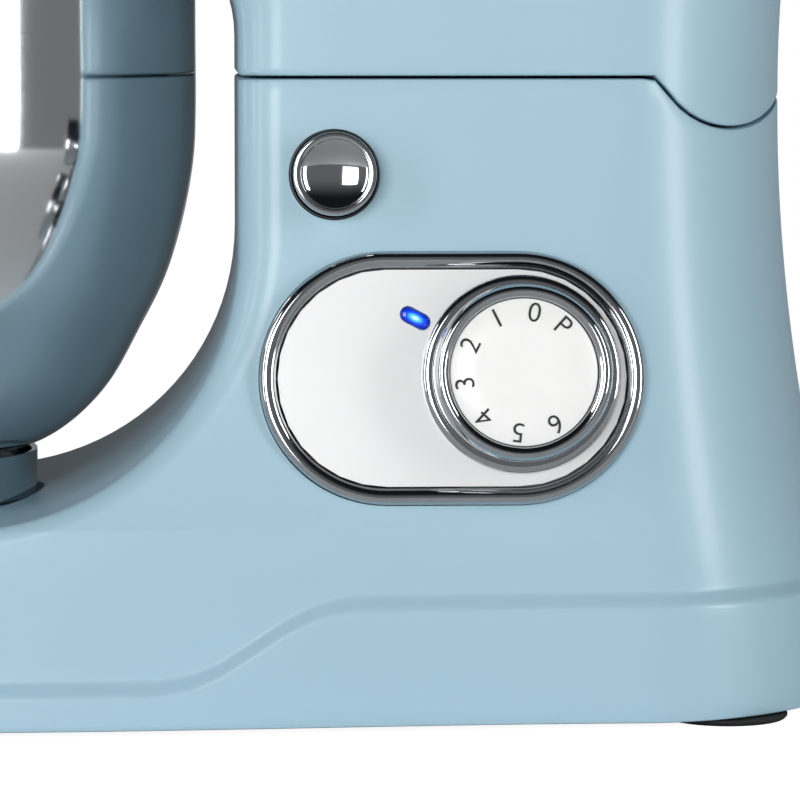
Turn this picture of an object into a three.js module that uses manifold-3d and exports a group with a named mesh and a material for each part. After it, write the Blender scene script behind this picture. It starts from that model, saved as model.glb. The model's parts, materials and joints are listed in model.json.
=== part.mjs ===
// A tilt-head stand mixer: column and base, tilting head with its drive, planetary hub, flat beater,
// steel bowl, speed dial and head release button.
// Millimetres, +Z up, the nose towards -X, the controls on the -Y side. The origin is on the worktop
// under the middle of the mixer's length.

import * as THREE from "three";
import { mergeVertices } from "three/addons/utils/BufferGeometryUtils.js";
import Module from "manifold-3d";

const wasm = await Module();
wasm.setup();

// ---------------------------------------------------------------- driving dimensions

const CLEARANCE = 0.3; // between pieces that touch or turn in each other
const SEAM_GAP = 0.8; // open line between the base and the tilting head
const WALL = 3; // housing thickness

const AXIS_X = -93; // the bowl and the planetary drive turn about this upright line
const BOWL_RADIUS = 108;
const BOWL_RIM = 209; // height of the bowl's rim, below the planetary hub
const BOWL_WALL = 1.2;

const BASE_LOW = 2.2; // lower edge of the base's side
const BASE_TOP = 56; // deck that carries the bowl
const SEAM = 176.5; // flat part of the line between base and head
const FRONT_REACH = 100; // base ahead of the bowl's axis
const COLUMN_FRONT = 26.6; // upright front of the column
const COVE_RADIUS = 75; // sweep from the deck up to the column
const WAIST_HALF = 76; // half the column's width at the seam
const SIDE_FLARE = 11; // how far each side spreads towards the base
const FRONT_SPREAD = 8.5; // further spread of the base under the bowl
const LEDGE = 3; // the skirt stands out this far below the style line
const LINE_LOW = 12.5; // height of the style line at the front
const LINE_HIGH = 34.8; // and at the rear
const LINE_FROM = 3; // where it starts to climb
const LINE_TO = 59; // and where it is level again
const REAR_WAIST = 181.9; // back of the column at the seam
const REAR_FLARE = 0.001; // spread of the back, per mm squared below the seam
const DECK_EDGE = 4.5; // edge radius round the deck
const COLUMN_EDGE = 12; // edge radius up the column

const PIVOT_X = 162.9; // hinge pin of the head
const PIVOT_Z = SEAM + 10.7;
const PIVOT_ROUND = 24; // cradle radius round the pin
const SHOULDER_X = PIVOT_X - 22.9; // where the seam leaves the level

const HEAD_UNDER = SEAM + 49.7; // underside of the head over the bowl
const HEAD_PART = HEAD_UNDER + 26; // line between the lower and the upper head shell
const HEAD_TOP = HEAD_PART + 92;
const HEAD_CROWN_X = 60; // highest point of the head
const NOSE_X = -178;
const NOSE_LENGTH = 78; // rounded part of the nose
const HEAD_SWELL = 2; // the head is this much wider than the waist, each side
const HEAD_TAPER = 0.14; // narrowing towards the nose
const HEAD_EDGE = 16; // edge radius under the head
const DOME_POWER = 2.3; // squareness of the head's crown

const PANEL_X = 84; // middle of the control panel
const PANEL_Z = 95.8;
const PANEL_LENGTH = 104.2;
const PANEL_HEIGHT = 68.4;
const PANEL_TILT = THREE.MathUtils.degToRad(7);
const BEZEL_BAND = 4.6;
const BEZEL_PROUD = 4;
const DIAL_RADIUS = 24.2;
const DIAL_FACE_RADIUS = 19.8;
const DIAL_PROUD = 15;
const COLLAR_RADIUS = 26.8;
const LENS_LENGTH = 8.2;
const LENS_WIDTH = 4;

const BUTTON_X = 52.4;
const BUTTON_Z = SEAM - 25.8;
const BUTTON_RADIUS = 11.35;
const BUTTON_PROUD = 9;
const BUTTON_TRAVEL = 5;
const SLEEVE_RADIUS = BUTTON_RADIUS + 0.85;

const PLANET_OFFSET = 24; // beater shaft from the planetary axis
const RING_TEETH = 36;
const PLANET_TEETH = 12;
const PLANET_MODULE = (2 * PLANET_OFFSET) / (RING_TEETH - PLANET_TEETH);
const HUB_RADIUS = 38;
const CARRIER_TEETH = 40;
const PINION_TEETH = 10;
const TRAIN_MODULE = 1.8;
const PULLEY_RADIUS = 34;
const MOTOR_PULLEY_RADIUS = 9.4;
const BELT_THICKNESS = 2;
const BELT_WIDTH = 9;
const MOTOR_X = 100;
const SHAFT_RADIUS = 5;
const LAYSHAFT_X = AXIS_X + (TRAIN_MODULE * (CARRIER_TEETH + PINION_TEETH)) / 2;

const FOOT_RADIUS = 17.3;
const FOOT_INSET_FRONT = 62; // front feet behind the base's nose
const FOOT_REAR_X = 160.7;
const FOOT_BOSS = 9; // the foot's plug in the cover
const FOOT_SPREAD_FRONT = 66;
const FOOT_SPREAD_REAR = 66;
const FOOT_OUTER = 62; // foot ring of the bowl

// ---------------------------------------------------------------- meshes and solids

const clamp = THREE.MathUtils.clamp;
const ease = (t) => THREE.MathUtils.smoothstep(t, 0, 1);

// A geometry with only its positions, its vertices merged and its collapsed triangles dropped.
function merged(geometry) {
  const bare = new THREE.BufferGeometry().setAttribute("position", geometry.getAttribute("position").clone());
  if (geometry.index) bare.setIndex(geometry.index.clone());
  const joined = mergeVertices(bare, 1e-4);
  const kept = [];
  const index = joined.index.array;
  for (let i = 0; i < index.length; i += 3) {
    const [a, b, c] = [index[i], index[i + 1], index[i + 2]];
    if (a !== b && b !== c && a !== c) kept.push(a, b, c);
  }
  return joined.setIndex(kept);
}

function solid(geometry) {
  const g = merged(geometry);
  const made = new wasm.Manifold(
    new wasm.Mesh({
      numProp: 3,
      vertProperties: new Float32Array(g.attributes.position.array),
      triVerts: new Uint32Array(g.index.array),
    }),
  );
  if (made.volume() < 0) throw new Error("a solid is inside out");
  return made;
}

function geometryOf(made) {
  const mesh = made.getMesh();
  const n = mesh.numProp;
  const flat = new Float32Array(mesh.numVert * 3);
  for (let i = 0; i < mesh.numVert; i++) flat.set(mesh.vertProperties.subarray(i * n, i * n + 3), i * 3);
  return new THREE.BufferGeometry()
    .setAttribute("position", new THREE.BufferAttribute(flat, 3))
    .setIndex(new THREE.BufferAttribute(mesh.triVerts, 1));
}

const at = (geometry, x, y, z) => geometry.translate(x, y, z);
const cut = (body, ...tools) => tools.reduce((left, tool) => left.subtract(tool), body);
const join = (body, ...more) => more.reduce((left, other) => left.add(other), body);

// An upright cylinder from z0 to z1.
function post(radius, z0, z1, x = 0, y = 0, sides = 28) {
  const g = new THREE.CylinderGeometry(radius, radius, z1 - z0, sides).rotateX(Math.PI / 2);
  return at(g, x, y, (z0 + z1) / 2);
}

// A cylinder along Y from y0 to y1.
function bar(radius, y0, y1, x, z, sides = 28) {
  return at(new THREE.CylinderGeometry(radius, radius, y1 - y0, sides), x, (y0 + y1) / 2, z);
}

function box(x0, x1, y0, y1, z0, z1) {
  return at(new THREE.BoxGeometry(x1 - x0, y1 - y0, z1 - z0), (x0 + x1) / 2, (y0 + y1) / 2, (z0 + z1) / 2);
}

// A body of revolution about the Z axis, from a closed profile of [radius, height] pairs.
function turned(profile, sides = 32) {
  const points = [...profile, profile[0]].map(([r, z]) => new THREE.Vector2(r, z));
  const flip = THREE.ShapeUtils.area(points) < 0 ? points.reverse() : points;
  return new THREE.LatheGeometry(flip, sides).rotateX(Math.PI / 2);
}

// A flat shape of [x, y] pairs, extruded up from z0 to z1.
function plate(outline, z0, z1, holes = []) {
  const shape = new THREE.Shape(outline.map(([x, y]) => new THREE.Vector2(x, y)));
  shape.holes = holes.map((h) => new THREE.Path(h.map(([x, y]) => new THREE.Vector2(x, y))));
  return at(new THREE.ExtrudeGeometry(shape, { depth: z1 - z0, bevelEnabled: false }), 0, 0, z0);
}

// A side view outline of [x, z] pairs, extruded across from y0 to y1.
function slab(outline, y0, y1) {
  return at(plate(outline, 0, y1 - y0).rotateX(Math.PI / 2), 0, y1, 0);
}

const circle = (r, sides, x = 0, y = 0) =>
  Array.from({ length: sides }, (_, i) => {
    const a = (2 * Math.PI * i) / sides;
    return [x + r * Math.cos(a), y + r * Math.sin(a)];
  });

// A stadium of the given length and height, centred on [x, y].
function stadium(length, height, x = 0, y = 0, steps = 12) {
  const r = height / 2;
  const points = [];
  for (const side of [1, -1])
    for (let i = 0; i <= steps; i++) {
      const a = (Math.PI * i) / steps - Math.PI / 2;
      points.push([x + side * (length / 2 - r + r * Math.cos(a)), y + side * r * Math.sin(a)]);
    }
  return points;
}

// Closed skin over a stack of rings that have the same number of points, with a fan at each end.
function loft(rings) {
  const n = rings[0].length;
  const points = rings.flat();
  const middle = (ring) => [0, 1, 2].map((k) => ring.reduce((sum, p) => sum + p[k], 0) / n);
  const low = points.push(middle(rings[0])) - 1;
  const high = points.push(middle(rings[rings.length - 1])) - 1;
  const faces = [];
  for (let i = 0; i < n; i++) {
    const j = (i + 1) % n;
    faces.push(low, j, i, high, (rings.length - 1) * n + i, (rings.length - 1) * n + j);
    for (let k = 0; k + 1 < rings.length; k++) {
      const [a, b, c, d] = [k * n + i, k * n + j, (k + 1) * n + j, (k + 1) * n + i];
      faces.push(a, b, c, a, c, d);
    }
  }
  return new THREE.BufferGeometry()
    .setAttribute("position", new THREE.Float32BufferAttribute(points.flat(), 3))
    .setIndex(faces);
}

// The whole ring from its -Y half, which runs from the front to the rear.
const wholeRing = (half) => [...half, ...half.slice(1, -1).reverse().map(([x, y, z]) => [x, -y, z])];

// ---------------------------------------------------------------- shape of the base

// Height of the style line along the base's side.
function styleLine(x) {
  const t = clamp((x - LINE_FROM) / (LINE_TO - LINE_FROM), 0, 1);
  const straight = t - Math.sin(2 * Math.PI * t) / (2 * Math.PI);
  return LINE_LOW + (LINE_HIGH - LINE_LOW) * (0.4 * straight + 0.6 * t * t * (3 - 2 * t));
}

// Half the width of the base and column above the style line.
function sideAt(x, z) {
  const t = clamp((SEAM - z) / (SEAM - 40), 0, 1);
  const spread = FRONT_SPREAD * ease((130 - x) / 170) * clamp((SEAM - z) / (SEAM - BASE_TOP), 0, 1) ** 4;
  return WAIST_HALF + SIDE_FLARE * (2 * t * t - t ** 4) + spread;
}

const rearAt = (z) => REAR_WAIST + REAR_FLARE * (SEAM - 7 - Math.max(z, LINE_HIGH)) ** 2;
const rearCentreAt = (z) => 126 + 9 * clamp((SEAM - z) / (SEAM - LINE_HIGH), 0, 1);

const FRONT_STEPS = 7;
const CORNER_STEPS = 3;
const SIDE_STEPS = 2;
const REAR_STEPS = 6;

// One half ring of the base at height z, or at a height that follows the style line, pushed out by
// `out` and drawn in by `inset` all round. On the deck's level, `column` asks for the column's foot.
function baseHalf({ height, out = 0, inset = 0, column = false }) {
  const cove = COVE_RADIUS + inset;
  const centreX = COLUMN_FRONT - COVE_RADIUS;
  const centreZ = BASE_TOP + COVE_RADIUS;
  const z0 = height(0);
  const drop = Math.max(0, centreZ - z0);
  const edge = column
    ? THREE.MathUtils.lerp(COLUMN_EDGE, DECK_EDGE, Math.min(1, drop / COVE_RADIUS))
    : DECK_EDGE;
  const reach = Math.sqrt((cove + edge) ** 2 - cove ** 2);
  const below = clamp((BASE_TOP - inset - z0) / edge, 0, 1);
  const first = column ? 0 : Math.acos(1 - below);
  const drawn = column ? edge : edge * (1 - Math.sin(first));
  const side = (x, z) => sideAt(x, z) + out - inset;
  const points = [];
  for (let i = 0; i < FRONT_STEPS; i++) {
    const t = i / FRONT_STEPS;
    if (column) {
      const x = centreX + Math.sqrt(Math.max(0, cove ** 2 - drop ** 2));
      points.push([x, -t * (side(x, z0) - edge), z0]);
      continue;
    }
    // The rounded front takes two thirds of the points, the straight side the rest.
    const bend = Math.min(1, t * 1.5) * (Math.PI / 2);
    const reachX = FRONT_REACH + out - inset - drawn;
    const x = t * 1.5 < 1 ? AXIS_X - reachX * Math.cos(bend) : AXIS_X + (t * 3 - 2) * (centreX - AXIS_X);
    const z = height(x);
    points.push([x, -(side(Math.max(x, AXIS_X), z) - drawn) * (t * 1.5 < 1 ? Math.sin(bend) : 1), z]);
  }
  for (let i = 0; i <= CORNER_STEPS; i++) {
    const beta = THREE.MathUtils.lerp(first, Math.PI / 2, i / CORNER_STEPS);
    const round = (cove + edge * (1 - Math.cos(beta))) ** 2 - drop ** 2;
    const flat = (reach * i) / CORNER_STEPS;
    const x = centreX + (!column && below >= 1 ? flat : Math.sqrt(Math.max(0, round)));
    const z = height(x);
    points.push([x, -(side(x, z) - edge * (1 - Math.sin(beta))), z]);
  }
  const start = points[points.length - 1][0];
  for (let i = 1; i < SIDE_STEPS; i++) {
    const x = THREE.MathUtils.lerp(start, rearCentreAt(z0), i / SIDE_STEPS);
    const z = height(x);
    points.push([x, -side(x, z), z]);
  }
  for (let i = 0; i <= REAR_STEPS; i++) {
    const a = (Math.PI / 2) * (i / REAR_STEPS);
    const z = height(LINE_TO);
    const c = rearCentreAt(z);
    points.push([c + (rearAt(z) + out - inset - c) * Math.sin(a), -side(c, z) * Math.cos(a), z]);
  }
  return points;
}

// The base's skin: skirt, ledge, deck and column, up past the seam. With an inset it is the hollow.
function baseSkin(inset, low) {
  const level = (z) => () => z;
  const rings = [];
  const add = (row) => rings.push(wholeRing(baseHalf({ inset, ...row })));
  add({ height: level(low), out: LEDGE });
  add({ height: (x) => styleLine(x) - 1 - inset, out: LEDGE });
  add({ height: (x) => styleLine(x) + 3 - inset });
  for (const part of inset ? [1, 0] : [1, 0.5, 0]) add({ height: level(BASE_TOP - inset - part * DECK_EDGE) });
  for (let angle = 0; angle < 90; angle += inset ? 30 : 15)
    add({
      height: level(BASE_TOP + COVE_RADIUS - (COVE_RADIUS + inset) * Math.cos(THREE.MathUtils.degToRad(angle))),
      column: true,
    });
  for (const z of [BASE_TOP + COVE_RADIUS, SEAM + 6]) add({ height: level(z), column: true });
  return solid(loft(rings));
}

// The seam in side view, raised by `up`: level, over the shoulder, and round the hinge to the rear.
function seamLine(up, round) {
  const points = [[-260, SEAM + up], [SHOULDER_X - 2, SEAM + up]];
  const corner = PIVOT_X - Math.sqrt(round ** 2 - (PIVOT_Z - SEAM - up) ** 2);
  points.push([corner - 1, SEAM + up - 1.2]);
  const first = 180 + THREE.MathUtils.radToDeg(Math.asin((PIVOT_Z - SEAM - up) / round)) + 8;
  for (let a = first; a <= 330; a += 10) {
    const t = THREE.MathUtils.degToRad(a);
    points.push([PIVOT_X + round * Math.cos(t), PIVOT_Z + round * Math.sin(t)]);
  }
  return points;
}

const aboveSeam = (up, round) => slab([...seamLine(up, round), [260, 190], [260, 400], [-260, 400]], -150, 150);
const belowSeam = (up, round) => slab([...seamLine(up, round), [260, 160], [260, 0], [-260, 0]].reverse(), -150, 150);

// ---------------------------------------------------------------- shape of the head

const COVE_TOP_RADIUS = 38;
const COVE_TOP_Z = HEAD_UNDER - COVE_TOP_RADIUS;
const COVE_TOP_X = COLUMN_FRONT - COVE_TOP_RADIUS;

function headSideAt(x, z) {
  const swell = HEAD_SWELL * ease((z - SEAM) / (HEAD_PART - SEAM));
  return (WAIST_HALF + swell) * (1 - HEAD_TAPER * ease((HEAD_CROWN_X - x) / 200));
}

const headRearAt = (z) => REAR_WAIST + 3.5 * ease((z - SEAM) / (HEAD_PART - SEAM));

// One half ring of the head at height z. Below the underside it is the neck.
function headHalf({ z, inset = 0, neck = false, shrink = 1 }) {
  const cove = COVE_TOP_RADIUS + inset;
  const rise = Math.max(0, z - COVE_TOP_Z);
  const edge = neck ? THREE.MathUtils.lerp(COLUMN_EDGE, HEAD_EDGE, Math.min(1, rise / COVE_TOP_RADIUS)) : HEAD_EDGE;
  const reach = Math.sqrt((cove + edge) ** 2 - cove ** 2);
  const above = clamp((z - HEAD_UNDER - inset) / edge, 0, 1);
  const first = neck ? 0 : Math.acos(1 - above);
  const drawn = neck ? edge : edge * (1 - Math.sin(first));
  const level = Math.min(z, HEAD_PART);
  const side = (x) => headSideAt(x, level) - inset;
  const noseCentre = NOSE_X + NOSE_LENGTH;
  const points = [];
  for (let i = 0; i < FRONT_STEPS; i++) {
    const t = i / FRONT_STEPS;
    if (neck) {
      const x = COVE_TOP_X + Math.sqrt(Math.max(0, cove ** 2 - rise ** 2));
      points.push([x, -t * (side(x) - edge), z]);
      continue;
    }
    const bend = Math.min(1, t * 1.5) * (Math.PI / 2);
    const round = t * 1.5 < 1;
    const x = round
      ? noseCentre - (NOSE_LENGTH - inset - drawn) * Math.cos(bend)
      : noseCentre + (t * 3 - 2) * (COVE_TOP_X - noseCentre);
    points.push([x, -(side(Math.max(x, noseCentre)) - drawn) * (round ? Math.sin(bend) : 1), z]);
  }
  for (let i = 0; i <= CORNER_STEPS; i++) {
    const beta = THREE.MathUtils.lerp(first, Math.PI / 2, i / CORNER_STEPS);
    const round = (cove + edge * (1 - Math.cos(beta))) ** 2 - rise ** 2;
    const flat = (reach * i) / CORNER_STEPS;
    const x = COVE_TOP_X + (!neck && above >= 1 ? flat : Math.sqrt(Math.max(0, round)));
    points.push([x, -(side(x) - edge * (1 - Math.sin(beta))), z]);
  }
  const start = points[points.length - 1][0];
  const centre = rearCentreAt(SEAM);
  for (let i = 1; i < SIDE_STEPS; i++) {
    const x = THREE.MathUtils.lerp(start, centre, i / SIDE_STEPS);
    points.push([x, -side(x), z]);
  }
  for (let i = 0; i <= REAR_STEPS; i++) {
    const a = (Math.PI / 2) * (i / REAR_STEPS);
    points.push([centre + (headRearAt(level) - inset - centre) * Math.sin(a), -side(centre) * Math.cos(a), z]);
  }
  return points.map(([x, y, h]) => [HEAD_CROWN_X + (x - HEAD_CROWN_X) * shrink, y * shrink, h]);
}

function headSkin(inset) {
  const rings = [];
  const add = (row) => rings.push(wholeRing(headHalf({ inset, ...row })));
  for (const z of [150, COVE_TOP_Z]) add({ z, neck: true });
  for (const angle of inset ? [30, 60, 90] : [20, 40, 60, 75, 90])
    add({ z: COVE_TOP_Z + (COVE_TOP_RADIUS + inset) * Math.sin(THREE.MathUtils.degToRad(angle)), neck: true });
  for (const part of inset ? [0, 1] : [0, 0.15, 0.5, 1]) add({ z: HEAD_UNDER + inset + part * HEAD_EDGE });
  add({ z: HEAD_PART });
  for (const angle of inset ? [25, 50, 72] : [20, 38, 54, 68, 79]) {
    const t = THREE.MathUtils.degToRad(angle);
    const rise = Math.sin(t);
    add({
      z: HEAD_PART + (HEAD_TOP - HEAD_PART - inset) * rise,
      shrink: (1 - rise ** DOME_POWER) ** (1 / DOME_POWER),
    });
  }
  add({ z: HEAD_TOP - inset, shrink: 0.12 });
  return solid(loft(rings));
}

// ---------------------------------------------------------------- list of the pieces

const mixer = new THREE.Group();
mixer.name = "stand_mixer";

function piece(name, colour, shape) {
  const geometry = shape instanceof THREE.BufferGeometry ? merged(shape) : geometryOf(shape);
  const mesh = new THREE.Mesh(geometry, new THREE.MeshStandardMaterial({ color: colour }));
  mesh.name = name;
  mixer.add(mesh);
  return mesh;
}

const PAINT = 0xa0bccb;
const CHROME = 0xc9ccce;
const STEEL = 0xb8babd;
const BLACK = 0x1c1d1f;
const WHITE = 0xf0f1f1;
const BRASS = 0xb59a5a;

// ---------------------------------------------------------------- base and column

const housingTop = belowSeam(0, PIVOT_ROUND + SEAM_GAP);
const outerBase = solid(housingTop);
const hollowTop = solid(belowSeam(-WALL - 1, PIVOT_ROUND + SEAM_GAP + WALL + 1));
const hollow = baseSkin(WALL, BASE_LOW - 8).intersect(hollowTop);

// The panel's own frame: X along it, Y up it, Z out of it.
const panelSide = sideAt(PANEL_X, PANEL_Z);
const onPanel = (g) => g.rotateX(Math.PI / 2 - PANEL_TILT).translate(PANEL_X, -panelSide, PANEL_Z);
const DIAL_U = 18.6;
const DIAL_V = 1;
const LENS_U = -10;
const LENS_V = 16.2;
const panelBed = -2.6;

const BUTTON_TILT = Math.atan((SIDE_FLARE * 4 * 0.198) / (SEAM - 40));
const buttonSide = sideAt(BUTTON_X, BUTTON_Z);
const onButton = (g) => g.rotateX(Math.PI / 2 - BUTTON_TILT).translate(BUTTON_X, -buttonSide, BUTTON_Z);
const SLEEVE_DEPTH = 16;

const lugSpan = [8, 16]; // each bracket lug, from the middle outwards
const LUG_HALF = 7;
const LUG_REACH = 44;
const PIN_RADIUS = 4;
const STRIKE_X = BUTTON_X; // the latch strike hangs over the button's stem
const LUG_LEAN = THREE.MathUtils.degToRad(250);

function lugOutline(half, length) {
  const [dx, dz] = [Math.cos(LUG_LEAN), Math.sin(LUG_LEAN)];
  const points = [];
  for (let i = 0; i <= 8; i++) {
    const a = LUG_LEAN + Math.PI / 2 + (Math.PI * i) / 8;
    points.push([PIVOT_X + half * Math.cos(a), PIVOT_Z + half * Math.sin(a)]);
  }
  const [tx, tz] = [PIVOT_X + length * dx, PIVOT_Z + length * dz];
  return [...points, [tx + half * dz, tz - half * dx], [tx - half * dz, tz + half * dx]].reverse();
}

const PLATE_Z = 5; // underside of the bottom cover
const PLATE_THICK = 2.5;
const panelHole = onPanel(plate(stadium(PANEL_LENGTH + 0.6, PANEL_HEIGHT + 0.6), panelBed, 20));
const dialBore = onPanel(at(post(7, -20, 10, 0, 0, 24), DIAL_U, DIAL_V, 0));
const buttonBore = onButton(post(SLEEVE_RADIUS + 0.3, -30, 20, 0, 0, 32));
const inletBore = at(new THREE.CylinderGeometry(7.3, 7.3, 60, 20).rotateZ(Math.PI / 2), 200, 0, 20);
const sides = (span, gap) => [1, -1].map((s) => [s * (span[0] - gap), s * (span[1] + gap)].sort((a, b) => a - b));
const lugSlots = sides(lugSpan, 1).map(([y0, y1]) => solid(slab(lugOutline(LUG_HALF + 1, LUG_REACH), y0, y1)));
const screwSpots = [-1, 1].flatMap((s) => [
  [-70, s * 72],
  [110, s * (sideAt(110, 40) - 5.5)],
]);
const screwPosts = screwSpots.map(([x, y]) => solid(post(5, PLATE_Z + PLATE_THICK + 0.3, BASE_TOP - 1, x, y, 16)));
const screwHoles = screwSpots.map(([x, y]) => solid(post(1.9, PLATE_Z, PLATE_Z + 22, x, y, 12)));
const housing = baseSkin(0, BASE_LOW).intersect(outerBase).subtract(hollow);
const seatPocket = solid(post(FOOT_OUTER + 2, BASE_TOP, BASE_TOP + 12, AXIS_X, 0, 44));
const padPocket = solid(box(84, 108, -26, 26, SEAM - 1.6, SEAM + 1));
const strikeSlot = solid(box(STRIKE_X - 24, STRIKE_X + 12, -4.4, 4.4, SEAM - 14, SEAM + 1));
piece(
  "base_housing",
  PAINT,
  cut(
    join(housing, ...screwPosts),
    solid(panelHole),
    solid(dialBore),
    solid(buttonBore),
    solid(inletBore),
    seatPocket,
    padPocket,
    strikeSlot,
    ...lugSlots,
    ...screwHoles,
  ),
);

const coverOutline = baseHalf({ height: () => 6, out: LEDGE, inset: WALL + 0.5 }).map(([x, y]) => [x, y]);
const wholeCover = [...coverOutline, ...coverOutline.slice(1, -1).reverse().map(([x, y]) => [x, -y])];
const feet = [
  ["foot_front_left", AXIS_X - FRONT_REACH + FOOT_INSET_FRONT, -FOOT_SPREAD_FRONT],
  ["foot_front_right", AXIS_X - FRONT_REACH + FOOT_INSET_FRONT, FOOT_SPREAD_FRONT],
  ["foot_rear_left", FOOT_REAR_X, -FOOT_SPREAD_REAR],
  ["foot_rear_right", FOOT_REAR_X, FOOT_SPREAD_REAR],
];
piece(
  "base_cover",
  BLACK,
  cut(solid(plate(wholeCover, PLATE_Z, PLATE_Z + PLATE_THICK)), ...screwHoles),
);
for (const [name, x, y] of feet) {
  const r = FOOT_RADIUS;
  const [step, top] = [BASE_LOW - 0.4, PLATE_Z - 0.3];
  const profile = [[0, 0], [r - 1, 0], [r, 0.9], [r, step], [FOOT_BOSS, step], [FOOT_BOSS, top], [0, top]];
  piece(name, BLACK, at(turned(profile, 24), x, y, 0));
}
screwSpots.forEach(([x, y], i) => {
  const profile = [[0, 2.6], [3.4, 2.6], [3.4, 4.7], [1.7, 4.9], [1.7, 20], [0, 21]];
  piece(`cover_screw_${i + 1}`, STEEL, at(turned(profile, 12), x, y, 0));
});

// Bowl seat: a steel disc with three lugs that the bowl's foot turns under.
const SEAT_RADIUS = 56;
const SEAT_TOP = BASE_TOP + 7;
function sector(r0, r1, from, to, steps = 4) {
  const arc = (r, a, b) =>
    Array.from({ length: steps + 1 }, (_, i) => {
      const t = THREE.MathUtils.degToRad(a + ((b - a) * i) / steps);
      return [r * Math.cos(t), r * Math.sin(t)];
    });
  return [...arc(r1, from, to), ...arc(r0, to, from)];
}
const seat = join(
  solid(turned([[0, BASE_TOP + 0.3], [SEAT_RADIUS, BASE_TOP + 0.3], [SEAT_RADIUS, SEAT_TOP - 1], [SEAT_RADIUS - 1, SEAT_TOP], [0, SEAT_TOP]], 32)),
  ...[0, 120, 240].map((a) => solid(plate(sector(SEAT_RADIUS - 2, 59.2, a - 18, a + 18), SEAT_TOP - 2.4, SEAT_TOP - 0.6))),
);
piece("bowl_seat", STEEL, cut(seat, solid(post(40, SEAT_TOP - 2, SEAT_TOP + 2, 0, 0, 28))).translate([AXIS_X, 0, 0]));

// Control panel.
const bezelRing = [
  [PANEL_LENGTH, PANEL_HEIGHT, panelBed + CLEARANCE, BEZEL_PROUD - 1.4],
  [PANEL_LENGTH - 2.2, PANEL_HEIGHT - 2.2, BEZEL_PROUD - 1.41, BEZEL_PROUD],
];
const bezelSolid = bezelRing
  .map(([l, h, z0, z1]) => solid(plate(stadium(l, h, 0, 0, 16), z0, z1)))
  .reduce((a, b) => a.add(b));
const bezelHole = solid(plate(stadium(PANEL_LENGTH - 2 * BEZEL_BAND, PANEL_HEIGHT - 2 * BEZEL_BAND, 0, 0, 16), -10, 20));
piece("panel_bezel", CHROME, onPanel(geometryOf(bezelSolid.subtract(bezelHole))));
const PLATE_TOP = 2.2;
const lensOutline = stadium(LENS_LENGTH, LENS_WIDTH, 0, 0, 6).map(([x, y]) => {
  const a = THREE.MathUtils.degToRad(-26.6);
  return [LENS_U + x * Math.cos(a) - y * Math.sin(a), LENS_V + x * Math.sin(a) + y * Math.cos(a)];
});
const lensHole = lensOutline.map(([x, y]) => [LENS_U + (x - LENS_U) * 1.08, LENS_V + (y - LENS_V) * 1.14]);
const plateSize = [PANEL_LENGTH - 2 * BEZEL_BAND - 0.6, PANEL_HEIGHT - 2 * BEZEL_BAND - 0.6];
const dialHole = circle(7, 24, DIAL_U, DIAL_V);
piece(
  "panel_plate",
  STEEL,
  onPanel(plate(stadium(...plateSize, 0, 0, 14), panelBed + CLEARANCE, PLATE_TOP, [dialHole, lensHole])),
);
piece("indicator_lens", 0x3f8fe0, onPanel(plate(lensOutline, panelBed + CLEARANCE, PLATE_TOP + 0.3)));
const collar = [[8, PLATE_TOP + CLEARANCE], [COLLAR_RADIUS, PLATE_TOP + CLEARANCE], [COLLAR_RADIUS, 3.8], [COLLAR_RADIUS - 1, 4.6], [8, 4.6]];
piece("dial_collar", CHROME, onPanel(at(turned(collar, 32), DIAL_U, DIAL_V, 0)));
const knob = [
  [5, 4.9], [DIAL_RADIUS - 0.8, 4.9], [DIAL_RADIUS, 5.7], [DIAL_RADIUS, DIAL_PROUD - 1.2], [DIAL_RADIUS - 1.2, DIAL_PROUD],
  [DIAL_RADIUS - 3, DIAL_PROUD], [DIAL_FACE_RADIUS + 0.3, DIAL_PROUD - 1], [DIAL_FACE_RADIUS + 0.3, DIAL_PROUD - 3], [5, DIAL_PROUD - 3],
];
piece("dial_knob", CHROME, onPanel(at(turned(knob, 36), DIAL_U, DIAL_V, 0)));
const face = [[0, DIAL_PROUD - 2.7], [DIAL_FACE_RADIUS, DIAL_PROUD - 2.7], [DIAL_FACE_RADIUS, DIAL_PROUD - 1.1], [0, DIAL_PROUD - 0.9]];
piece("dial_face", WHITE, onPanel(at(turned(face, 32), DIAL_U, DIAL_V, 0)));
const dialShaft = [[0, -12], [4.6, -12], [4.6, DIAL_PROUD - 3.2], [0, DIAL_PROUD - 3.2]];
piece("dial_shaft", STEEL, onPanel(at(turned(dialShaft, 20), DIAL_U, DIAL_V, 0)));
const innerFace = -WALL - 1.6; // inside of the wall behind the panel, leaving it clear all over
const boardTop = innerFace - 2.5;
piece(
  "control_board",
  0x2f6b45,
  onPanel(plate([[-40, -22], [40, -22], [40, 22], [-40, 22]], boardTop - 1.6, boardTop, [circle(5.2, 16, DIAL_U, DIAL_V)])),
);
const switchBody = cut(
  solid(plate([[-13, -13], [13, -13], [13, 13], [-13, 13]], boardTop - 17, boardTop - 1.9)),
  solid(post(4.9, -13, 0, 0, 0, 20)),
);
piece("speed_switch", BLACK, onPanel(at(geometryOf(switchBody), DIAL_U, DIAL_V, 0)));

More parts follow.
